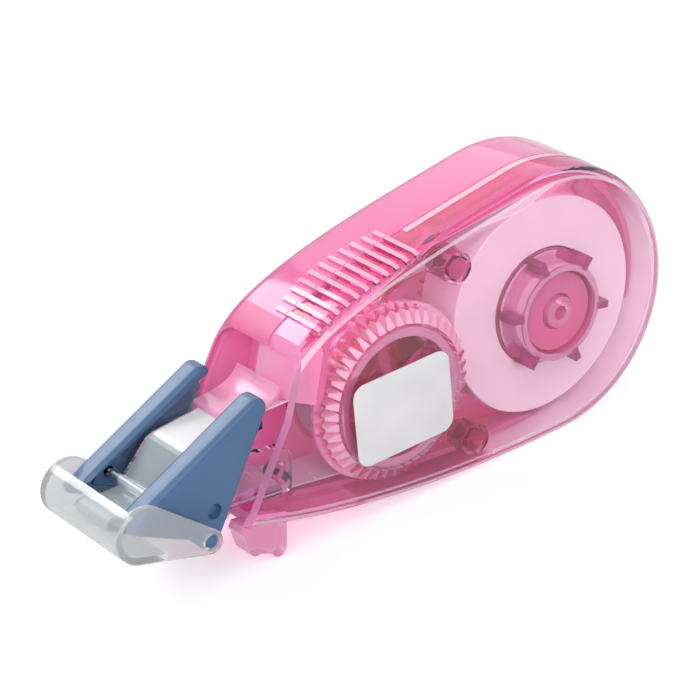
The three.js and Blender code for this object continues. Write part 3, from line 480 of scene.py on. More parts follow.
def distinct(points):
    kept = []
    for point in points:
        if not kept or (Vector(point) - Vector(kept[-1])).length > APART:
            kept.append(Vector(point))
    while (kept[0] - kept[-1]).length < APART:
        kept.pop()
    return kept


def outline_area(points):
    return sum(a[0] * b[1] - b[0] * a[1] for a, b in zip(points, points[1:] + points[:1])) / 2


def inset(points, distance):
    points = distinct(points)
    turn = 1 if outline_area(points) > 0 else -1
    moved = []
    for i, point in enumerate(points):
        before = (point - points[i - 1]).normalized()
        after = (points[(i + 1) % len(points)] - point).normalized()
        normal = Vector((-before.y - after.y, before.x + after.x)).normalized() * turn
        mitre = max(0.5, (normal.x * -before.y + normal.y * before.x) * turn)
        moved.append(point + normal * distance / mitre)
    return moved


def arc(centre, radius, start, end, count):
    return [
        Vector((centre[0] + radius * math.cos(start + (end - start) * i / count),
                centre[1] + radius * math.sin(start + (end - start) * i / count)))
        for i in range(count + 1)
    ]


print("profile helpers ready, points closer than", APART, "mm count as one")

# %% [markdown]
# A profile becomes a closed mesh by a loft through copies of it. A straight prism takes two copies, and a
# rounded edge takes a few more, each drawn in a little.

# %% Lofts and prisms


def raw(name, points, faces):
    mesh = bpy.data.meshes.new(name)
    mesh.from_pydata([tuple(p) for p in points], [], faces)
    mesh.update()
    piece = bpy.data.objects.new(name, mesh)
    DRAWING.objects.link(piece)
    return piece


def loft(name, rings, closed=False):
    count = len(rings[0])
    points = [p for ring in rings for p in ring]
    faces = []
    spans = len(rings) if closed else len(rings) - 1
    for i in range(spans):
        here, there = i * count, ((i + 1) % len(rings)) * count
        for j in range(count):
            k = (j + 1) % count
            faces.append((here + j, here + k, there + k, there + j))
    if not closed:
        faces.append(tuple(reversed(range(count))))
        faces.append(tuple((len(rings) - 1) * count + j for j in range(count)))
    return raw(name, points, faces)


def rounding_levels(radius, steps):
    turns = [math.pi / 2 * i / steps for i in range(steps + 1)]
    return [(radius * (1 - math.cos(turn)), radius * (1 - math.sin(turn))) for turn in turns]


def prism(points, low, high, round_low=0.0, round_high=0.0, steps=5):
    points = distinct(points)
    if outline_area(points) > 0:
        points.reverse()
    levels = [(low, 0)]
    if round_low > 0:
        levels = [(low + up, depth) for up, depth in rounding_levels(round_low, steps)]
    if round_high > 0:
        levels += [(high - down, depth) for down, depth in reversed(rounding_levels(round_high, steps))]
    else:
        levels.append((high, 0))
    rings = []
    for y, depth in levels:
        ring = inset(points, depth) if depth > 1e-9 else points
        rings.append([(p.x, y, p.y) for p in ring])
    return loft("profile", rings)


def rod(radius, low, high, at, round_low=0.0, round_high=0.0, count=64):
    return prism(arc(at, radius, 0, math.tau * (1 - 1 / count), count - 1), low, high, round_low, round_high)


def block(low, high):
    corners = [(low[0], low[2]), (high[0], low[2]), (high[0], high[2]), (low[0], high[2])]
    return prism(corners, low[1], high[1])


print("lofts and prisms ready")

# %% [markdown]
# A roll, a hoop or a ring is turned: half of its section goes round the axis in small steps, and the last
# ring joins the first.

# %% Turned shapes


def turned(profile, at, count=128):
    if outline_area(profile) < 0:
        profile = profile[::-1]
    rings = []
    for i in range(count):
        angle = -math.tau * i / count
        rings.append([(at[0] + r * math.cos(angle), y, at[1] + r * math.sin(angle)) for r, y in profile])
    return loft("turned", rings, closed=True)


def tube(outer, inner, low, high, at, count=128, edge=0.0):
    profile = [(inner, low), (outer, low), (outer, high), (inner, high)]
    if edge > 0:
        profile[1:3] = [(outer - edge, low), (outer, low + edge), (outer, high - edge), (outer - edge, high)]
    return turned(profile, at, count)


print("turned shapes ready")

# %% [markdown]
# Simple shapes are then joined and cut by booleans with the manifold solver, which is exact on closed
# meshes. The mesh is taken from the evaluated object, so no modifier stays behind.

# %% Booleans


def boolean(base, tool, operation):
    change = base.modifiers.new("change", "BOOLEAN")
    change.operation = operation
    change.solver = "MANIFOLD"
    change.object = tool
    bpy.context.view_layer.update()
    result = bpy.data.meshes.new_from_object(base.evaluated_get(bpy.context.evaluated_depsgraph_get()))
    base.modifiers.remove(change)
    base.data = result
    bpy.data.objects.remove(tool)
    return base


def join(base, *tools):
    for tool in tools:
        boolean(base, tool, "UNION")
    return base


def cut(base, *tools):
    for tool in tools:
        boolean(base, tool, "DIFFERENCE")
    return base


def copy_of(piece):
    double = piece.copy()
    double.data = piece.data.copy()
    DRAWING.objects.link(double)
    return double


def mirrored(piece):
    piece.data.transform(Matrix.Scale(-1, 4, (0, 1, 0)))
    piece.data.flip_normals()
    return piece


print("boolean helpers ready")

# %% [markdown]
# A finished piece goes into the frame with its place in its mesh, and rides on its body. Some of its faces
# can get a material of their own, often for painted light and painted shade: each test in the paint list
# looks at a face's centre and normal, and a later test wins over an earlier one.

# %% Finish of a piece


def finish_piece(piece, name, material, body, replaced=(), sharp=30, paint=()):
    DRAWING.objects.unlink(piece)
    bpy.context.scene.collection.objects.link(piece)
    piece.name = name
    piece.data.name = name
    spots = [(face.center.copy(), face.normal.copy()) for face in piece.data.polygons]
    piece.data.transform(TO_FRAME)
    piece.data.materials.clear()
    piece.data.materials.append(material)
    for i, (other, chosen) in enumerate(paint):
        piece.data.materials.append(other)
        for face, (centre, normal) in zip(piece.data.polygons, spots):
            if chosen(centre, normal):
                face.material_index = i + 1
    piece.data.polygons.foreach_set("use_smooth", [True] * len(piece.data.polygons))
    piece.data.set_sharp_from_angle(angle=math.radians(sharp))
    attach(piece, body)
    if replaced:
        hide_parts(*replaced)
    print(name, "faces:", len(piece.data.polygons))
    return piece


print("finish helper ready")

# %% [markdown]
# The housing's side view has long soft curves and rounded corners, so a Bezier curve and a fillet come
# first. The nose is a straight line that leans, and its place follows from the take-up reel behind it.

# %% Curves and the nose line
FLANGE_RADIUS = 9.12
FLANGE_TO_NOSE = 6.07
NOSE_REACH = FLANGE_RADIUS + FLANGE_TO_NOSE - takeup.x
NOSE_LEAN = math.radians(26)


def nose_x(z, behind=0.0):
    return -NOSE_REACH + math.tan(NOSE_LEAN) * z + behind / math.cos(NOSE_LEAN)


def bezier(a, b, c, d, count):
    curve = []
    for i in range(1, count + 1):
        t = i / count
        s = 1 - t
        curve.append(
            Vector(a) * s**3 + Vector(b) * 3 * s * s * t + Vector(c) * 3 * s * t * t + Vector(d) * t**3
        )
    return curve


def fillet(corner, before, after, radius, count=10):
    corner, before, after = Vector(corner), Vector(before), Vector(after)
    to_back = (before - corner).normalized()
    to_ahead = (after - corner).normalized()
    half = math.acos(max(-1, min(1, to_back.dot(to_ahead)))) / 2
    start = corner + to_back * radius / math.tan(half)
    end = corner + to_ahead * radius / math.tan(half)
    centre = corner + (to_back + to_ahead).normalized() * radius / math.sin(half)
    first = math.atan2(start.y - centre.y, start.x - centre.x)
    last = math.atan2(end.y - centre.y, end.x - centre.x)
    while last - first > math.pi:
        last -= math.tau
    while last - first < -math.pi:
        last += math.tau
    return arc(centre, radius, first, last, count)


def rounded_outline(corners, count=10):
    points = []
    for i, (x, z, radius) in enumerate(corners):
        points += fillet((x, z), corners[i - 1][:2], corners[(i + 1) % len(corners)][:2], radius, count)
    return points


print("nose at height 0:", round(nose_x(0), 2), "mm")

# %% [markdown]
# The side view is a drop: a large rear arc, a long top line that bends over to the nose at a crease, the
# leaning nose, a rounded toe and a low belly. Each Bezier handle is given as a pull away from its end.

# %% Outline of the housing
BODY_WIDTH = 12.9
HALF = BODY_WIDTH / 2
EDGE_ROUND = 1.6
REAR_RADIUS = 14.19
REAR_CENTRE = Vector((-0.9, 1.1))
REAR_SPAN = (math.radians(-83), math.radians(105))
NOSE_TOP = 1.8
NOSE_BOTTOM = -11.3
CREASE = Vector((nose_x(NOSE_TOP) + 3.9, NOSE_TOP + 4.1))
CREST_PULL = (8.7, 2.33)
ROOF_PULL = (6, 3.9)
BROW_PULL = (1.7, 1.1)
BROW_RISE = 1.5
TOE_FALL = 0.19
TOE_LENGTH = 6
TOE_PULL = 8.5
BELLY_PULL = (14, 1.72)


def body_outline():
    rear = arc(REAR_CENTRE, REAR_RADIUS, *REAR_SPAN, 96)
    bottom, top = rear[0], rear[-1]
    toe = Vector((nose_x(NOSE_BOTTOM), NOSE_BOTTOM))
    toe_back = Vector((toe.x + TOE_LENGTH, toe.y - TOE_LENGTH * TOE_FALL))
    nose_start = Vector((nose_x(NOSE_TOP), NOSE_TOP))
    points = list(rear)
    points += bezier(
        top, (top.x - CREST_PULL[0], top.y - CREST_PULL[1]),
        (CREASE.x + ROOF_PULL[0], CREASE.y + ROOF_PULL[1]), CREASE, 48,
    )
    points += bezier(
        CREASE, (CREASE.x - BROW_PULL[0], CREASE.y - BROW_PULL[1]),
        (nose_x(NOSE_TOP + BROW_RISE), NOSE_TOP + BROW_RISE), nose_start, 24,
    )
    points += fillet(toe, nose_start, toe_back, EDGE_ROUND + 0.4, 14)
    points += bezier(
        toe_back, (toe_back.x + TOE_PULL, toe_back.y - TOE_PULL * TOE_FALL),
        (bottom.x - BELLY_PULL[0], bottom.y - BELLY_PULL[1]), bottom, 48,
    )
    return distinct(points)


OUTLINE = body_outline()
print("outline points:", len(OUTLINE), "area:", round(outline_area(OUTLINE)), "mm2")

# %% [markdown]
# The two halves of the housing are one hollow drop that is cut at the parting line. The near cover's front
# edge is set back from the nose, most of all at its foot, and the mouth is cut through the nose.

# %% Hollow drop and its halves
PARTING = -1.05
PARTING_GAP = 0.1
PARTING_ROUND = 0.2
SIDE_WALL = 1.0
RIM_WALL = 0.9
INNER_ROUND = 0.6
NEAR_INNER = -(HALF - SIDE_WALL)
FAR_INNER = HALF - SIDE_WALL
NEAR_ROOT = NEAR_INNER - 0.2
FAR_ROOT = FAR_INNER + 0.2
COVER_SETBACK = 2.2
COVER_TOP_SETBACK = 1.0
COVER_BEND = -2.0
MOUTH_HALF = 5.2
MOUTH_TOP = 4.2
MOUTH_BOTTOM = -10.9
MOUTH_CORNER = 1.6
MOUTH_FOOT_CORNER = 0.6
MOUTH_START = -2
MOUTH_DEPTH = 5.2
AWAY = 60


def body_solid(shrink, rounding, steps):
    half = HALF - (SIDE_WALL if shrink > 0 else shrink)
    points = inset(OUTLINE, shrink) if shrink else OUTLINE
    return prism(points, -half, half, rounding, rounding, steps)


def cover_region():
    return prism([
        Vector((nose_x(-AWAY, COVER_SETBACK), -AWAY)), Vector((AWAY, -AWAY)), Vector((AWAY, AWAY)),
        Vector((nose_x(AWAY, COVER_TOP_SETBACK), AWAY)),
        Vector((nose_x(MOUTH_TOP, COVER_TOP_SETBACK), MOUTH_TOP)),
        Vector((nose_x(COVER_BEND, COVER_SETBACK), COVER_BEND)),
    ], -HALF - 1, PARTING)


def leaning_prism(points, start, depth):
    along = Vector((math.cos(NOSE_LEAN), 0, -math.sin(NOSE_LEAN)))
    upward = Vector((math.sin(NOSE_LEAN), 0, math.cos(NOSE_LEAN)))
    origin = Vector((nose_x(0), 0, 0))
    points = distinct(points)
    if outline_area(points) < 0:
        points.reverse()
    rings = []
    for d in (start, start + depth):
        rings.append([origin + Vector((0, p.x, 0)) + upward * p.y + along * d for p in points])
    return loft("leaning", rings)


def mouth_cutter():
    top = MOUTH_TOP / math.cos(NOSE_LEAN)
    bottom = MOUTH_BOTTOM / math.cos(NOSE_LEAN)
    return leaning_prism(rounded_outline([
        (-MOUTH_HALF, bottom, MOUTH_FOOT_CORNER), (MOUTH_HALF, bottom, MOUTH_FOOT_CORNER),
        (MOUTH_HALF, top, MOUTH_CORNER), (-MOUTH_HALF, top, MOUTH_CORNER),
    ]), MOUTH_START, MOUTH_DEPTH)


outside = body_solid(0, EDGE_ROUND, 8)
drop = cut(outside, body_solid(RIM_WALL, INNER_ROUND, 4), mouth_cutter())
near_walls = boolean(copy_of(drop), cover_region(), "INTERSECT")
boolean(near_walls, prism(inset(OUTLINE, 0.001), -HALF - 1, PARTING, 0, PARTING_ROUND), "INTERSECT")
far_walls = cut(drop, block((-AWAY, -HALF - 1, -AWAY), (AWAY, PARTING + PARTING_GAP, AWAY)))
print("walls:", len(near_walls.data.polygons), len(far_walls.data.polygons))

# %% [markdown]
# Behind the mouth stands a swept wall with a ridge down its middle, and a short chute curves from its foot
# to the tape. The wall belongs to the far half, so its near part has to stay clear of the cover.

# %% Ridge and chute in the mouth
RIDGE_SETBACK = 1.0
RIDGE_SWEEP = 3.4
RIDGE_WALL = 0.8
RIDGE_SPINE = RIDGE_WALL + 0.2
RIDGE_LOW = -1.3
RIDGE_HIGH = MOUTH_TOP + 0.7
RIDGE_NOSE = (0.25, 0.5)
RIDGE_SLANT = 0.18
CHUTE_TOP_SETBACK = 1.6
CHUTE_END = Vector((-38.0, -2.25))
CHUTE_HALF = 3.4
CHUTE_WALL = Vector((-0.35, 0.45))
CHUTE_LIP = Vector((0, 0.3))
CHUTE_FOOT_PULL = (3.0, 0.25)
CHUTE_TOP_PULL = (0.5, 1.5)
CHUTE_EDGE = 0.15
COVER_GAP = 0.3


def ridged_wall():
    front, side = nose_x(MOUTH_TOP) + RIDGE_SETBACK, FAR_ROOT
    depth, half_width = RIDGE_NOSE
    nose = [Vector((front + depth - depth * (1 - (t / 5) ** 2), half_width * t / 5)) for t in range(-5, 6)]
    points = [Vector((front + RIDGE_SWEEP, -side)), *nose, Vector((front + RIDGE_SWEEP, side))]
    points += [
        Vector((front + RIDGE_SWEEP + RIDGE_WALL, side)), Vector((front + RIDGE_SPINE, 0)),
        Vector((front + RIDGE_SWEEP + RIDGE_WALL, -side)),
    ]
    if outline_area(points) < 0:
        points.reverse()
    rings = []
    for z in (RIDGE_LOW, RIDGE_HIGH):
        forward = RIDGE_SLANT * (RIDGE_HIGH - z)
        rings.append([(p.x - forward, p.y, z) for p in points])
    near_part = loft("wall", rings)
    far_room = block((-AWAY, PARTING + PARTING_GAP, -AWAY), (0, FAR_INNER + 0.1, AWAY))
    near_room = block((-AWAY, NEAR_INNER + COVER_GAP, -AWAY), (0, PARTING + 1, AWAY))
    far_part = boolean(copy_of(near_part), far_room, "INTERSECT")
    boolean(far_part, body_solid(0, EDGE_ROUND, 8), "INTERSECT")
    boolean(near_part, near_room, "INTERSECT")
    boolean(near_part, body_solid(RIM_WALL + COVER_GAP, INNER_ROUND, 4), "INTERSECT")
    return join(far_part, near_part)


def chute():
    top = Vector((nose_x(MOUTH_TOP) + CHUTE_TOP_SETBACK - RIDGE_SLANT * RIDGE_HIGH, 0.2))
    low = CHUTE_END
    under = bezier(
        low, (low.x + CHUTE_FOOT_PULL[0], low.y + CHUTE_FOOT_PULL[1]),
        (top.x - CHUTE_TOP_PULL[0], top.y - CHUTE_TOP_PULL[1]), top, 16,
    )
    over = [p + CHUTE_WALL for p in reversed(under)]
    return prism([low, *under, *over, low + CHUTE_LIP], -CHUTE_HALF, CHUTE_HALF, CHUTE_EDGE, CHUTE_EDGE, 3)


print("mouth:", 2 * MOUTH_HALF, "mm wide, chute:", 2 * CHUTE_HALF, "mm wide")

# %% [markdown]
# The grip ribs and the teeth of the rim both repeat, so Geometry Nodes make them: a tree sets one shape on
# each point of a row, and each point carries its own turn. The two trees differ only in their shape, so
# helpers open such a tree, close it and run it.

# %% Trees that repeat a shape


def open_tree(name, sizes):
    tree = bpy.data.node_groups.new(name, "GeometryNodeTree")
    face = tree.interface
    face.new_socket(name="Geometry", in_out="INPUT", socket_type="NodeSocketGeometry")
    for label, value in sizes.items():
        face.new_socket(name=label, in_out="INPUT", socket_type="NodeSocketFloat").default_value = value
    face.new_socket(name="Material", in_out="INPUT", socket_type="NodeSocketMaterial")
    face.new_socket(name="Geometry", in_out="OUTPUT", socket_type="NodeSocketGeometry")
    return tree, add_node(tree, "NodeGroupInput")


def close_tree(tree, given, shape, scale):
    slope = add_node(tree, "GeometryNodeInputNamedAttribute", {"Name": "slope"}, data_type="FLOAT_VECTOR")
    spots = add_node(tree, "GeometryNodeInstanceOnPoints")
    real = add_node(tree, "GeometryNodeRealizeInstances")
    paint = add_node(tree, "GeometryNodeSetMaterial")
    result = add_node(tree, "NodeGroupOutput")
    wire(
        tree,
        (given.outputs["Geometry"], spots.inputs["Points"]),
        (shape, spots.inputs["Instance"]),
        (slope.outputs["Attribute"], spots.inputs["Rotation"]),
        (scale, spots.inputs["Scale"]),
        (spots.outputs[0], real.inputs[0]),
        (real.outputs[0], paint.inputs["Geometry"]),
        (given.outputs["Material"], paint.inputs["Material"]),
        (paint.outputs[0], result.inputs[0]),
    )
    return tree


def grown(name, tree, points, attributes, values):
    piece = raw(name, points, [])
    for label, vectors in attributes.items():
        layer = piece.data.attributes.new(label, "FLOAT_VECTOR", "POINT")
        layer.data.foreach_set("vector", [c for vector in vectors for c in vector])
    grow = piece.modifiers.new("grow", "NODES")
    grow.node_group = tree
    for item in tree.interface.items_tree:
        if item.item_type == "SOCKET" and item.in_out == "INPUT" and item.name in values:
            grow[item.identifier] = values[item.name]
    bpy.context.view_layer.update()
    result = bpy.data.meshes.new_from_object(piece.evaluated_get(bpy.context.evaluated_depsgraph_get()))
    piece.modifiers.remove(grow)
    piece.data = result
    return piece


print("tree helpers ready")

# %% [markdown]
# The finger rests on eleven thin ribs across the top. The points of their row carry the slope of the roof
# and the length of each rib, which is longest in the middle of the row. The bars are then trimmed to a thin
# skin over the roof, so that every rib follows its curve.

# %% Grip ribs by Geometry Nodes
GRIP_COUNT = 11
GRIP_PITCH = 1.25
GRIP_WIDTH = 0.5
GRIP_HEIGHT = 0.28
GRIP_START = -29.9
GRIP_FAR = 2.7
GRIP_TAPER = 0.35
GRIP_NEAR_EDGE = 0.5
RIB_SIZES = {"Rib Width": GRIP_WIDTH, "Rib Depth": 3.2}
ROOF_END = -8


def rib_tree():
    tree, given = open_tree("grip_ribs", RIB_SIZES)
    size = add_node(tree, "ShaderNodeCombineXYZ", {"Y": 1})
    bar = add_node(tree, "GeometryNodeMeshCube")
    stretch = add_node(tree, "GeometryNodeInputNamedAttribute", {"Name": "stretch"}, data_type="FLOAT_VECTOR")
    wire(
        tree,
        (given.outputs["Rib Width"], size.inputs["X"]),
        (given.outputs["Rib Depth"], size.inputs["Z"]),
        (size.outputs[0], bar.inputs["Size"]),
    )
    return close_tree(tree, given, bar.outputs["Mesh"], stretch.outputs["Attribute"])


def roof(x):
    top = sorted((p for p in OUTLINE if p.y > 0 and p.x < ROOF_END), key=lambda p: p.x)
    i = next(i for i, p in enumerate(top) if p.x >= x)
    a, b = top[max(0, i - 1)], top[max(1, i)]
    return a.y + (b.y - a.y) * (x - a.x) / (b.x - a.x), math.atan2(b.y - a.y, b.x - a.x)


def grip_ribs(low, high, tree):
    x = GRIP_START
    points, slopes, stretches = [], [], []
    for i in range(GRIP_COUNT):
        z, slope = roof(x)
        share = 2 * i / (GRIP_COUNT - 1) - 1
        end = min(high, PARTING + GRIP_FAR * (1 - GRIP_TAPER * share * share))
        points.append((x, (low + end) / 2, z))
        slopes.append((0, -slope, 0))
        stretches.append((1, end - low, 1))
        x += GRIP_PITCH * math.cos(slope)
    attributes = {"slope": slopes, "stretch": stretches}
    ribs = grown("ribs", tree, points, attributes, {**RIB_SIZES, "Material": CLEAR_PINK})
    skin = cut(body_solid(-GRIP_HEIGHT, EDGE_ROUND, 6), body_solid(0.05, EDGE_ROUND, 6))
    return boolean(skin, ribs, "INTERSECT")


RIB_TREE = rib_tree()
near_ribs = grip_ribs(-HALF + GRIP_NEAR_EDGE, PARTING, RIB_TREE)
far_ribs = grip_ribs(PARTING + PARTING_GAP, HALF, RIB_TREE)
print("rib faces:", len(near_ribs.data.polygons), len(far_ribs.data.polygons))

# %% [markdown]
# Both halves have a small foot under the nose. It is made of two round lobes that a web joins.

# %% Feet
FOOT_SETBACK = 6.9
FOOT_DROP = 3.19
FOOT_LOBE = 0.8
FOOT_SPREAD = 2.6
FOOT_STEP = 0.9
FOOT_THICK = 2.6
FOOT_INSET = 0.6
FOOT_ROUND = 0.2


def foot(low, high):
    top = NOSE_BOTTOM - TOE_FALL * FOOT_SETBACK
    rear = Vector((nose_x(NOSE_BOTTOM) + FOOT_SETBACK - FOOT_LOBE, top - FOOT_DROP + FOOT_LOBE))
    front = Vector((rear.x - FOOT_SPREAD, rear.y + FOOT_STEP))
    web = [
        Vector((front.x - 2.2 * FOOT_LOBE, top + 1.0)),
        Vector((front.x - 0.8 * FOOT_LOBE, front.y - 0.6 * FOOT_LOBE)),
        Vector((front.x + 0.6 * FOOT_LOBE, front.y - 0.8 * FOOT_LOBE)),
        Vector((rear.x - 0.9 * FOOT_LOBE, rear.y - 0.2 * FOOT_LOBE)),
        Vector((rear.x + FOOT_LOBE, rear.y)),
        Vector((rear.x + FOOT_LOBE, top + 0.8)),
    ]
    return join(
        prism(web, low, high),
        rod(FOOT_LOBE, low, high, front, FOOT_ROUND, FOOT_ROUND),
        rod(FOOT_LOBE, low, high, rear, FOOT_ROUND, FOOT_ROUND),
    )


print("foot:", FOOT_THICK, "mm thick")

# %% [markdown]
# Inside, the far half carries the posts on which the reels turn, the guide post, the snap post and a peg.
# Every post runs a little into the wall that it stands on, so that the join leaves no seam. The near cover
# has short sockets and a peg that meet them.

# %% Posts and sockets
AXLE = 1.65
AXLE_COLLAR = AXLE + 0.9
AXLE_BORE = 0.75
AXLE_BORE_DEPTH = 2.5
GEAR_OUTER = 4.7
SEAT_GAP = 0.3
RUN_GAP = 0.25
IDLER_POST = 1.0
IDLER_TIP = 3.35
IDLER_COLLAR = 1.7
IDLER_SEAT = 5.0
POST = 0.8
POST_TIP = NEAR_INNER + 2.2
POST_ROUND = 0.15
SNAP_COLLAR = POST + 0.9
SNAP_SEAT = 1.2
SNAP_AT = Vector((math.cos(math.radians(224.2)), math.sin(math.radians(224.2)))) * 15.204
BOSS_WALL = 0.55
SOCKET_END = NEAR_INNER + 2.6
PEG = 0.8
PEG_END = 3.6
PEG_AT = Vector((1.0 - NOSE_REACH, -7.3))


def axle_post(at):
    tip = NEAR_INNER + SEAT_GAP
    post = join(
        rod(AXLE, tip, FAR_ROOT, at, POST_ROUND),
        rod(AXLE_COLLAR, GEAR_OUTER + SEAT_GAP, FAR_ROOT, at),
    )
    return cut(post, rod(AXLE_BORE, tip - 1, tip + AXLE_BORE_DEPTH, at))


def far_posts():
    return [
        axle_post(hub), axle_post(takeup),
        rod(IDLER_POST, IDLER_TIP, FAR_ROOT, idler), rod(IDLER_COLLAR, IDLER_SEAT, FAR_ROOT, idler),
        rod(POST, POST_TIP, FAR_ROOT, guide, POST_ROUND),
        rod(POST, POST_TIP, FAR_ROOT, SNAP_AT, POST_ROUND), rod(SNAP_COLLAR, SNAP_SEAT, FAR_ROOT, SNAP_AT),
        rod(PEG, PEG_END, FAR_ROOT, PEG_AT),
    ]


def socket(at):
    hole = POST + SEAT_GAP
    return cut(
        rod(hole + BOSS_WALL, NEAR_ROOT, SOCKET_END, at, 0, 0.12),
        rod(hole, NEAR_INNER + 0.1, SOCKET_END + 1, at),
    )


print("axle:", 2 * AXLE, "mm, socket hole:", 2 * (POST + SEAT_GAP), "mm")

# %% [markdown]
# A lip on the far half locates the cover all round, except at the mouth and where a reel needs the room. On
# the cover's top a fine bead runs along the parting line and carries a painted highlight.

# %% Locating lip and bead
ROLL_RADIUS = 11.4
LIP_OUTER = RIM_WALL + 0.25
LIP_INNER = RIM_WALL + 0.85
LIP_LOW = PARTING - 1.3
LIP_HIGH = PARTING + 1.5
LIP_ROOT = PARTING + 0.9
LIP_SETBACK = 9
ROLL_ROOM = ROLL_RADIUS + 0.5
FLANGE_ROOM = FLANGE_RADIUS + 0.4
GUIDE_ROOM = 2.85
BEAD_LOW = PARTING - 0.92
BEAD_HIGH = PARTING - 0.12
BEAD_RISE = 0.03
BEAD_START = -16.6
BEAD_END = 8.5
BEAD_FLOOR = 8


def locating_lip():
    outer, inner = inset(OUTLINE, LIP_OUTER), inset(OUTLINE, LIP_INNER)
    hollow = prism(inner, PARTING - 3, PARTING + 3)
    lip = cut(prism(outer, LIP_LOW, LIP_HIGH), copy_of(hollow))
    root = cut(prism(inset(OUTLINE, RIM_WALL - 0.1), LIP_ROOT, LIP_HIGH), hollow)
    join(lip, root)
    behind = prism([
        Vector((nose_x(-AWAY, LIP_SETBACK), -AWAY)), Vector((AWAY, -AWAY)), Vector((AWAY, AWAY)),
        Vector((nose_x(AWAY, LIP_SETBACK), AWAY)),
    ], -HALF, HALF)
    boolean(lip, behind, "INTERSECT")
    return cut(
        lip, rod(ROLL_ROOM, -HALF, HALF, hub, count=128), rod(FLANGE_ROOM, -HALF, HALF, takeup, count=128),
        rod(GUIDE_ROOM, -HALF, HALF, guide), mouth_cutter(),
    )


def parting_bead():
    strip = prism(inset(OUTLINE, -BEAD_RISE), BEAD_LOW, BEAD_HIGH)
    cut(strip, prism(inset(OUTLINE, 0.2), BEAD_LOW - 1, BEAD_HIGH + 1))
    top = block((BEAD_START, BEAD_LOW - 1, BEAD_FLOOR), (BEAD_END, BEAD_HIGH + 1, BEAD_FLOOR + 12))
    return boolean(strip, top, "INTERSECT")


print("bead:", BEAD_HIGH - BEAD_LOW, "mm wide")

# %% [markdown]
# Some faces of the two shells look unlike the rest, and most of these are painted light and shade: the wall
# in the mouth is milky and painted lighter, the brow over it is dark, the rounded edges and the bead carry a
# painted highlight, the ribs and the foot are painted lighter, the low rim is painted pale against the shade
# inside and the ends of the posts carry painted shade. Each of these tests picks its faces in millimetres, by
# the place and the direction of a face.

# %% Faces of the shells with painted light, painted shade and other pinks
GRIP_END = -12
RIB_ABOVE = 0.06
EDGE_FOOT = -10.3
TOE_FOOT = -12.6
EDGE_BACK = COVER_SETBACK + 0.4
TOE_BACK = COVER_SETBACK + 1.6
FOOT_LINE = -12.75
FOOT_END = -25
LOW_RIM_FRONT = -9
LOW_RIM_TOP = 7
LOW_RIM_RISE = 0.7
BROW_LOW = 3.9
BEAD_TEST = (-16.5, 9)
MOUTH_SPAN = (-39, -27)
MOUTH_FLOOR = -3
MOUTH_WALL_BACK = 0.95
CHUTE_AHEAD = 5
MARGIN = 0.05


# The grip ribs, which get a painted highlight.
def on_rib(centre, normal):
    if not GRIP_START - 1 < centre.x < GRIP_END:
        return False
    return centre.z > 0 and centre.z - roof(centre.x)[0] > RIB_ABOVE


def on_front_edge(centre, normal):
    ahead = -math.cos(NOSE_LEAN) * normal.x + math.sin(NOSE_LEAN) * normal.z
    if centre.z > EDGE_FOOT:
        return ahead > 0.85 and centre.x < nose_x(centre.z, EDGE_BACK)
    return centre.z > TOE_FOOT and centre.x < nose_x(centre.z, TOE_BACK)


def on_parting(centre, normal):
    return abs(centre.y - PARTING) < 0.25 and abs(normal.y) > 0.7


# These rounded facets of the near edge get a painted highlight.
def on_near_round(centre, normal):
    return centre.y <= -HALF + EDGE_ROUND and -0.9 < normal.y < -0.4 and normal.z < 0.55


def on_far_round(centre, normal):
    return centre.y > HALF - EDGE_ROUND and normal.y > 0.3 and normal.z > 0.3


# The low rim, which gets painted light.
def on_low_rim(centre, normal):
    top = LOW_RIM_TOP + LOW_RIM_RISE * max(centre.x, 0)
    return centre.y > NEAR_INNER - MARGIN and centre.x > LOW_RIM_FRONT and centre.z < top


def on_brow(centre, normal):
    return centre.z > BROW_LOW and centre.x < CREASE.x - 0.02 and centre.y > PARTING and normal.x < -0.3


# The feet, which get painted light.
def on_foot(centre, normal):
    return centre.z < FOOT_LINE and centre.x < FOOT_END


# The ends of the guide and snap posts, which get painted shade.
def on_post_end(centre, normal):
    place = Vector((centre.x, centre.z))
    near = min((place - guide).length, (place - SNAP_AT).length)
    return near < POST + MARGIN and centre.y < SOCKET_END


def on_bead(centre, normal):
    above = centre.z > BEAD_FLOOR and BEAD_TEST[0] < centre.x < BEAD_TEST[1] and normal.z > 0.5
    return above and BEAD_LOW < centre.y < BEAD_HIGH


# Faces of the wall in the mouth, which get painted light.
def on_mouth_wall(centre, normal):
    ahead = CHUTE_AHEAD if abs(centre.y) < CHUTE_HALF + MARGIN else 0
    within = abs(centre.y) < MOUTH_HALF - MARGIN and MOUTH_SPAN[0] < centre.x < MOUTH_SPAN[1]
    height = MOUTH_FLOOR < centre.z < MOUTH_TOP - 0.1
    return within and height and centre.x > nose_x(centre.z, MOUTH_WALL_BACK) - ahead


print("tests for painted faces ready")

# %% [markdown]
# Now each shell is joined with its posts or sockets, its foot and its ribs, and gets its pinks, painted light
# and shade among them. The far one also takes the ridge, the chute and the lip, and the near one the bead.

# %% The two shells


def make_far_shell():
    foot_at = HALF - FOOT_INSET
    join(
        far_walls, ridged_wall(), chute(), *far_posts(), locating_lip(), foot(foot_at - FOOT_THICK, foot_at),
        far_ribs,
    )
    return finish_piece(
        far_walls, "far_housing", MILKY_PINK, "housing", ["far_shell"],
        paint=[(RIB_HIGHLIGHT_PINK, on_rib), (EDGE_PINK, on_parting), (MOUTH_LIT_PINK, on_mouth_wall), (BROW_PINK, on_brow),
               (FOOT_LIT_PINK, on_foot), (BROW_PINK, on_far_round), (POST_SHADE_PINK, on_post_end)],
    )


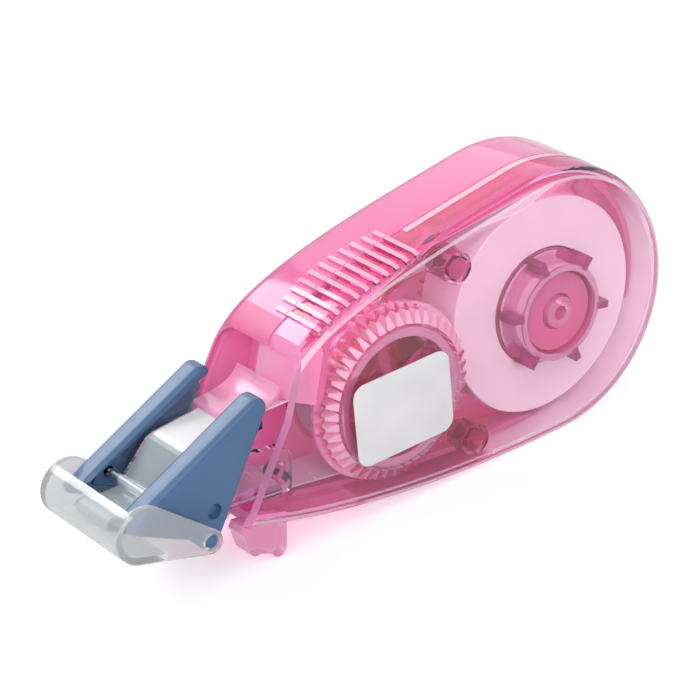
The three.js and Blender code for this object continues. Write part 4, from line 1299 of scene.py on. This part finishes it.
def make_near_shell():
    foot_at = -HALF + FOOT_INSET
    own_foot = boolean(foot(foot_at, foot_at + FOOT_THICK), cover_region(), "INTERSECT")
    peg = rod(PEG, NEAR_ROOT, -PEG_END, PEG_AT)
    join(near_walls, socket(guide), socket(SNAP_AT), peg, own_foot, parting_bead(), near_ribs)
    return finish_piece(
        near_walls, "near_housing", CLEAR_PINK, "housing", ["near_shell"],
        paint=[(LOW_RIM_LIT_PINK, on_low_rim), (HIGHLIGHT_PINK, on_near_round), (EDGE_PINK, on_front_edge),
               (RIB_HIGHLIGHT_PINK, on_rib), (EDGE_PINK, on_parting), (FOOT_LIT_PINK, on_foot), (HIGHLIGHT_PINK, on_bead)],
    )


make_far_shell()
make_near_shell()

# %% [markdown]
# The roll is a flat disc of hundreds of turns. Its rim and its side are turned finely, so that they look
# round through the cover.

# %% Tape roll
ROLL_BORE = 6.22
ROLL_EDGE = 0.08
TAPE_HALF = 2.5

roll = tube(ROLL_RADIUS, ROLL_BORE, -TAPE_HALF, TAPE_HALF, hub, 192, ROLL_EDGE)
finish_piece(roll, "wound_tape", TAPE_WHITE, "roll", ["tape_roll"])

# %% [markdown]
# The clutch ring in the middle of the roll has six claws, which repeat about the axis. Each is a bar that a
# turned cutter slopes down towards the roll.

# %% Clutch ring
CLUTCH_RADIUS = 5.07
CLUTCH_WALL = 0.75
CLUTCH_FRONT = NEAR_INNER + 0.2
CLUTCH_FOOT = 0.35
CLUTCH_FOOT_RADIUS = ROLL_BORE - 0.25
CLUTCH_EDGE = 0.1
CLAW_COUNT = 6
CLAW_FIRST = math.radians(6)
CLAW_ROOT = CLUTCH_RADIUS - 0.3
CLAW_TIP = 6.3
CLAW_WIDTH = 0.75
CLAW_DEPTH = 2.45
CLAW_BLOCK = 0.6


def radial_bars(count, first, inner, outer, low, high, width, at):
    bars = []
    for i in range(count):
        angle = first + i * math.tau / count
        along = Vector((math.cos(angle), -math.sin(angle)))
        across = Vector((-along.y, along.x)) * width / 2
        corners = [
            along * inner + across, along * outer + across, along * outer - across, along * inner - across,
        ]
        bars.append(prism([c + Vector(at) for c in corners], low, high))
    return bars


def make_clutch():
    front, end = CLUTCH_FRONT, CLUTCH_FRONT + CLAW_DEPTH
    inner = CLUTCH_RADIUS - CLUTCH_WALL
    ring = turned([
        (inner, front + CLUTCH_EDGE), (inner + CLUTCH_EDGE, front), (CLUTCH_RADIUS - CLUTCH_EDGE, front),
        (CLUTCH_RADIUS, front + CLUTCH_EDGE), (CLUTCH_RADIUS, end - CLUTCH_FOOT),
        (CLUTCH_FOOT_RADIUS, end - CLUTCH_FOOT), (CLUTCH_FOOT_RADIUS, end), (inner, end),
    ], hub)
    claws = radial_bars(CLAW_COUNT, CLAW_FIRST, CLAW_ROOT, CLAW_TIP, front, end, CLAW_WIDTH, hub)
    for claw in claws:
        cut(claw, turned([
            (CLAW_TIP + 0.1, front + CLAW_BLOCK), (CLAW_TIP + 1, front + CLAW_BLOCK), (CLAW_TIP + 1, end + 1),
            (CLUTCH_RADIUS - 0.1, end + 1), (CLUTCH_RADIUS - 0.1, end),
        ], hub))
    join(ring, *claws)
    return finish_piece(ring, "claw_ring", RING_PINK, "supply_wheel", ["clutch_ring"])


make_clutch()

# %% [markdown]
# The toothed rim of the take-up reel catches most of the light inside the housing. A tooth is a low pyramid
# without its tip, and the tree sets one on each point of a circle, turned to look outwards.

# %% Teeth by Geometry Nodes
RIM_TEETH = 44
RIM_ROOT = 7.1
RIM_TIP = 8.05
TOOTH_SINK = 0.2
TOOTH_WIDTH = 0.8
TOOTH_SHAPE = {"Vertices": 4, "Radius Top": 0.28, "Radius Bottom": 0.75, "Depth": 1.0}


def tooth_tree():
    tree, given = open_tree("rim_teeth", {"Tooth Length": 1.0, "Tooth Width": 1.0, "Tooth Depth": 1.0})
    tooth = add_node(tree, "GeometryNodeMeshCone", TOOTH_SHAPE)
    squared = add_node(tree, "GeometryNodeTransform", {"Rotation": (0, 0, math.radians(45))})
    size = add_node(tree, "ShaderNodeCombineXYZ")
    wire(
        tree,
        (tooth.outputs["Mesh"], squared.inputs["Geometry"]),
        (given.outputs["Tooth Width"], size.inputs["X"]),
        (given.outputs["Tooth Depth"], size.inputs["Y"]),
        (given.outputs["Tooth Length"], size.inputs["Z"]),
    )
    return close_tree(tree, given, squared.outputs[0], size.outputs[0])


def rim_teeth(front, end):
    points, slopes = [], []
    middle = (RIM_ROOT - TOOTH_SINK + RIM_TIP) / 2
    for i in range(RIM_TEETH):
        angle = i * math.tau / RIM_TEETH
        x, z = takeup.x + middle * math.cos(angle), takeup.y + middle * math.sin(angle)
        points.append((x, (front + end) / 2, z))
        slopes.append((0, math.pi / 2 - angle, 0))
    return grown("teeth", tooth_tree(), points, {"slope": slopes}, {
        "Tooth Length": RIM_TIP - RIM_ROOT + TOOTH_SINK, "Tooth Width": TOOTH_WIDTH,
        "Tooth Depth": end - front, "Material": DEEP_PINK,
    })


print("teeth:", RIM_TEETH, "at radius", RIM_ROOT, "to", RIM_TIP, "mm")

# %% [markdown]
# The reel behind the teeth is a thin flange with a hub, a hoop and five spokes. The faces of the teeth that
# look up to the lamp get a painted highlight, and the hoop a deep pink.

# %% Toothed rim
RIM_INNER = 6.2
RIM_FRONT = NEAR_INNER + 0.35
FLANGE_THICK = 0.4
FLANGE_INSIDE = -TAPE_HALF - 0.15 - SEAT_GAP
FLANGE_FRONT = FLANGE_INSIDE - FLANGE_THICK
FLANGE_EDGE = 0.06
REEL_BORE = AXLE + RUN_GAP
REEL_HUB = REEL_BORE + 0.9
HOOP_EDGE = 0.05
SPOKES = 5
SPOKE_FIRST = math.radians(112)
SPOKE_ROOT = REEL_BORE + 0.4
SPOKE_END = RIM_INNER + 0.3
SPOKE_FRONT = FLANGE_FRONT - 0.5
SPOKE_WIDTH = 1.1
TO_LAMP = Vector((-0.5, -0.4, 0.75))


def on_lamp_facing_tooth(centre, normal):
    reach = math.hypot(centre.x - takeup.x, centre.z - takeup.y)
    lit = normal.dot(TO_LAMP) > 0.25
    return centre.y < FLANGE_FRONT - MARGIN and lit and RIM_ROOT - MARGIN < reach < RIM_TIP + MARGIN


def on_hoop(centre, normal):
    reach = math.hypot(centre.x - takeup.x, centre.z - takeup.y)
    return RIM_INNER - 0.4 < reach < RIM_ROOT - 0.06 and centre.y < -TAPE_HALF - 0.5


def make_rim():
    back = FLANGE_FRONT + 0.1
    reel = tube(FLANGE_RADIUS, RIM_INNER - 0.3, FLANGE_FRONT, FLANGE_INSIDE, takeup, 160, FLANGE_EDGE)
    spokes = radial_bars(
        SPOKES, SPOKE_FIRST, SPOKE_ROOT, SPOKE_END, SPOKE_FRONT, FLANGE_INSIDE, SPOKE_WIDTH, takeup,
    )
    join(
        reel, tube(REEL_HUB, REEL_BORE, RIM_FRONT, FLANGE_INSIDE, takeup, 64, HOOP_EDGE),
        tube(RIM_ROOT, RIM_INNER, RIM_FRONT, back, takeup, 160, HOOP_EDGE), *spokes,
        rim_teeth(RIM_FRONT, back),
    )
    return finish_piece(
        reel, "toothed_rim", DEEP_PINK, "takeup_reel", ["takeup_flange"],
        paint=[(GLINT_PINK, on_lamp_facing_tooth), (RING_PINK, on_hoop)],
    )


make_rim()

# %% [markdown]
# The small guide roller turns on the guide post, and the tape runs over it. It is a plain tube with soft
# edges.

# %% Guide roller
ROLLER_BORE = POST + SEAT_GAP

roller = tube(ROLLER_BORE + BOSS_WALL, ROLLER_BORE, -TAPE_HALF, TAPE_HALF, guide, 96, 0.1)
finish_piece(roller, "tape_roller", CLEAR_PINK, "guide", ["guide_roller"])

# %% [markdown]
# Two opaque guards stand beside the tip. Each is a plate with a broad rounded flange along its top edge,
# which hangs over the tongue, and a stud on which the cap turns. They are mirror images of each other.

# %% Guards
GUARD_OUTER = 5.7
GUARD_PLATE = 0.9
GUARD_FLANGE = 2.45
GUARD_ROUND = 0.5
GUARD_RISE = 1.45
GUARD_THIN = 0.6
UNDERCUT_REAR = -30
UNDERCUT_LOW = -30
GUARD_TOP_REAR = Vector((0.95 - NOSE_REACH, 3.0))
GUARD_TOP_FRONT = Vector((-13.9 - NOSE_REACH, -6.0))
GUARD_NOSE = Vector((-16.8 - NOSE_REACH, -8.0))
HEAD_PIN_AT = Vector((-6.7 - NOSE_REACH, -8.7))
HEAD_PIN = 0.55
PIN_HOLE = HEAD_PIN + 0.02
PIN_DIMPLE = HEAD_PIN + RUN_GAP
DIMPLE_FLOOR = GUARD_OUTER - 0.51
CAP_STUD = 0.6
CAP_ARM = 0.65
guard_inner = GUARD_OUTER - GUARD_PLATE
cap_inner = GUARD_OUTER + RUN_GAP
cap_outer = cap_inner + CAP_ARM


def guard_top(x):
    slope = (GUARD_TOP_REAR.y - GUARD_TOP_FRONT.y) / (GUARD_TOP_REAR.x - GUARD_TOP_FRONT.x)
    return GUARD_TOP_REAR.y + slope * (x - GUARD_TOP_REAR.x)


def flange_bottom(x):
    share = (GUARD_TOP_REAR.x - x) / (GUARD_TOP_REAR.x - GUARD_TOP_FRONT.x)
    return guard_top(x) - GUARD_RISE * (1 - GUARD_THIN * share)


def guard_outline():
    return rounded_outline([
        (nose_x(GUARD_TOP_REAR.y - 0.4, -SEAT_GAP), GUARD_TOP_REAR.y, 1.1),
        (GUARD_TOP_FRONT.x, GUARD_TOP_FRONT.y, 1.0),
        (GUARD_NOSE.x, GUARD_NOSE.y, GUARD_ROUND + 0.3),
        (pivot.x - 1.9, pivot.y + 0.5, GUARD_ROUND + 0.3),
        (pivot.x - 0.3, pivot.y - 1.1, GUARD_ROUND + 0.2),
        (pivot.x + 1.0, pivot.y - 0.9, GUARD_ROUND + 0.1),
        (nose_x(pivot.y + 0.3, -SEAT_GAP), pivot.y + 0.3, 0.8),
    ])


def make_guard(side):
    inner = GUARD_OUTER - GUARD_FLANGE
    plate = prism(guard_outline(), inner, GUARD_OUTER, GUARD_ROUND, GUARD_ROUND, 6)
    rear, low = UNDERCUT_REAR, UNDERCUT_LOW
    front, tip = GUARD_TOP_FRONT.x - 0.4, GUARD_TOP_FRONT.x - 5
    under = prism([
        Vector((rear, flange_bottom(rear))), Vector((front, flange_bottom(front))),
        Vector((tip, flange_bottom(front) - 0.9)), Vector((tip, low)), Vector((rear, low)),
    ], inner - 1, guard_inner)
    cut(plate, under)
    join(plate, rod(CAP_STUD, guard_inner, cap_outer - 0.1, pivot, 0, 0.1))
    cut(
        plate, rod(PIN_HOLE, guard_inner - 1, GUARD_OUTER + 1, HEAD_PIN_AT),
        rod(PIN_DIMPLE, DIMPLE_FLOOR, GUARD_OUTER + 1, HEAD_PIN_AT),
    )
    if side == "near":
        mirrored(plate)
    return finish_piece(plate, f"{side}_side_guard", STEEL_BLUE, "housing", [f"{side}_guard"])


make_guard("far")
make_guard("near")

# %% [markdown]
# The cap is a half-round hood on two tapered arms. Each arm's outline is two arcs and their tangents, and
# the hood's section follows the front one. The cap is a little frosted, so it reads grey against white.

# %% Tip cap
CAP_FRONT = Vector((-15.1 - NOSE_REACH, -8.2))
CAP_RADIUS = 2.895
CAP_TAIL = 1.25
CAP_WALL = 0.7
CAP_LIP = math.radians(115)
CAP_FLOOR = 3.2
CAP_EDGES = (0.12, 0.25)


def make_cap():
    along = pivot - CAP_FRONT
    heading = math.atan2(along.y, along.x) % math.tau
    spread = math.acos((CAP_RADIUS - CAP_TAIL) / along.length)
    outline = arc(CAP_FRONT, CAP_RADIUS, heading + spread, heading - spread + math.tau, 56)
    outline += arc(pivot, CAP_TAIL, heading - spread, heading + spread, 24)
    arm = prism(outline, cap_inner, cap_outer, *CAP_EDGES, 4)
    cut(arm, rod(CAP_STUD + RUN_GAP, cap_inner - 1, cap_outer + 1, pivot))
    other = mirrored(copy_of(arm))
    low = heading - spread
    tail = pivot + Vector((math.cos(low), math.sin(low))) * CAP_TAIL
    outer = arc(CAP_FRONT, CAP_RADIUS, CAP_LIP, low, 48)
    inner = arc(CAP_FRONT, CAP_RADIUS - CAP_WALL, low, CAP_LIP, 40)
    ahead = (tail - outer[-1]).normalized()
    section = [*outer, outer[-1] + ahead * CAP_FLOOR, inner[0] + ahead * CAP_FLOOR, *inner]
    join(arm, other, prism(section, -cap_inner - 0.1, cap_inner + 0.1))
    return finish_piece(arm, "clear_cap", CAP_CLEAR, "cap", ["tip_cap"])


make_cap()

# %% [markdown]
# A plain pale plate with round corners sits on the near face, low in front of the toothed rim. It is a
# thin profile with a soft front edge, turned by a few degrees to follow the belly.

# %% Bare plate
PLATE_CENTRE = Vector((-20.4, -4.2))
PLATE_SIZE = Vector((11.6, 8.8))
PLATE_CORNER = 1.4
PLATE_TURN = math.radians(6)
PLATE_THICK = 0.12


def make_plate():
    half = PLATE_SIZE / 2
    corners = [(-half.x, -half.y), (half.x, -half.y), (half.x, half.y), (-half.x, half.y)]
    points = rounded_outline([(x, z, PLATE_CORNER) for x, z in corners])
    turn_plate = Matrix.Rotation(PLATE_TURN, 2)
    points = [turn_plate @ p + PLATE_CENTRE for p in points]
    plate = prism(points, -HALF - PLATE_THICK, -HALF + 0.02, 0.05, 0, 3)
    return finish_piece(plate, "bare_plate", PLATE_WHITE, "housing")


make_plate()

# %% [markdown]
# The gears, the drums, the tape, the film and the head keep the meshes of their CAD nodes, which already have
# every edge that shows, and only their finish changes.

# %% Finish of the nodes that stay
FINISH = {
    "supply_gear": HUB_PINK,
    "tape_core": HUB_PINK,
    "idler_gear": DEEP_PINK,
    "takeup_drum": DEEP_PINK,
    "film_winding": USED_FILM,
    "white_tape": SHADED_TAPE,
    "return_film": USED_FILM,
    "head_frame": CLEAR_GREY,
    "tip_tongue": CLEAR_GREY,
    "far_head_pin": STEEL_BLUE,
    "near_head_pin": STEEL_BLUE,
}
for node_name, material in FINISH.items():
    mesh = frame["nodes"][node_name].data
    mesh.materials.clear()
    mesh.materials.append(material)
bpy.data.collections.remove(DRAWING)
print("nodes with a new finish:", len(FINISH))

# %% [markdown]
# Light crosses many clear walls here, so the paths may be longer than usual.

# %% Finish
LIGHT_BOUNCES = 24

bpy.context.scene.cycles.max_bounces = LIGHT_BOUNCES
bpy.context.scene.cycles.transmission_bounces = LIGHT_BOUNCES
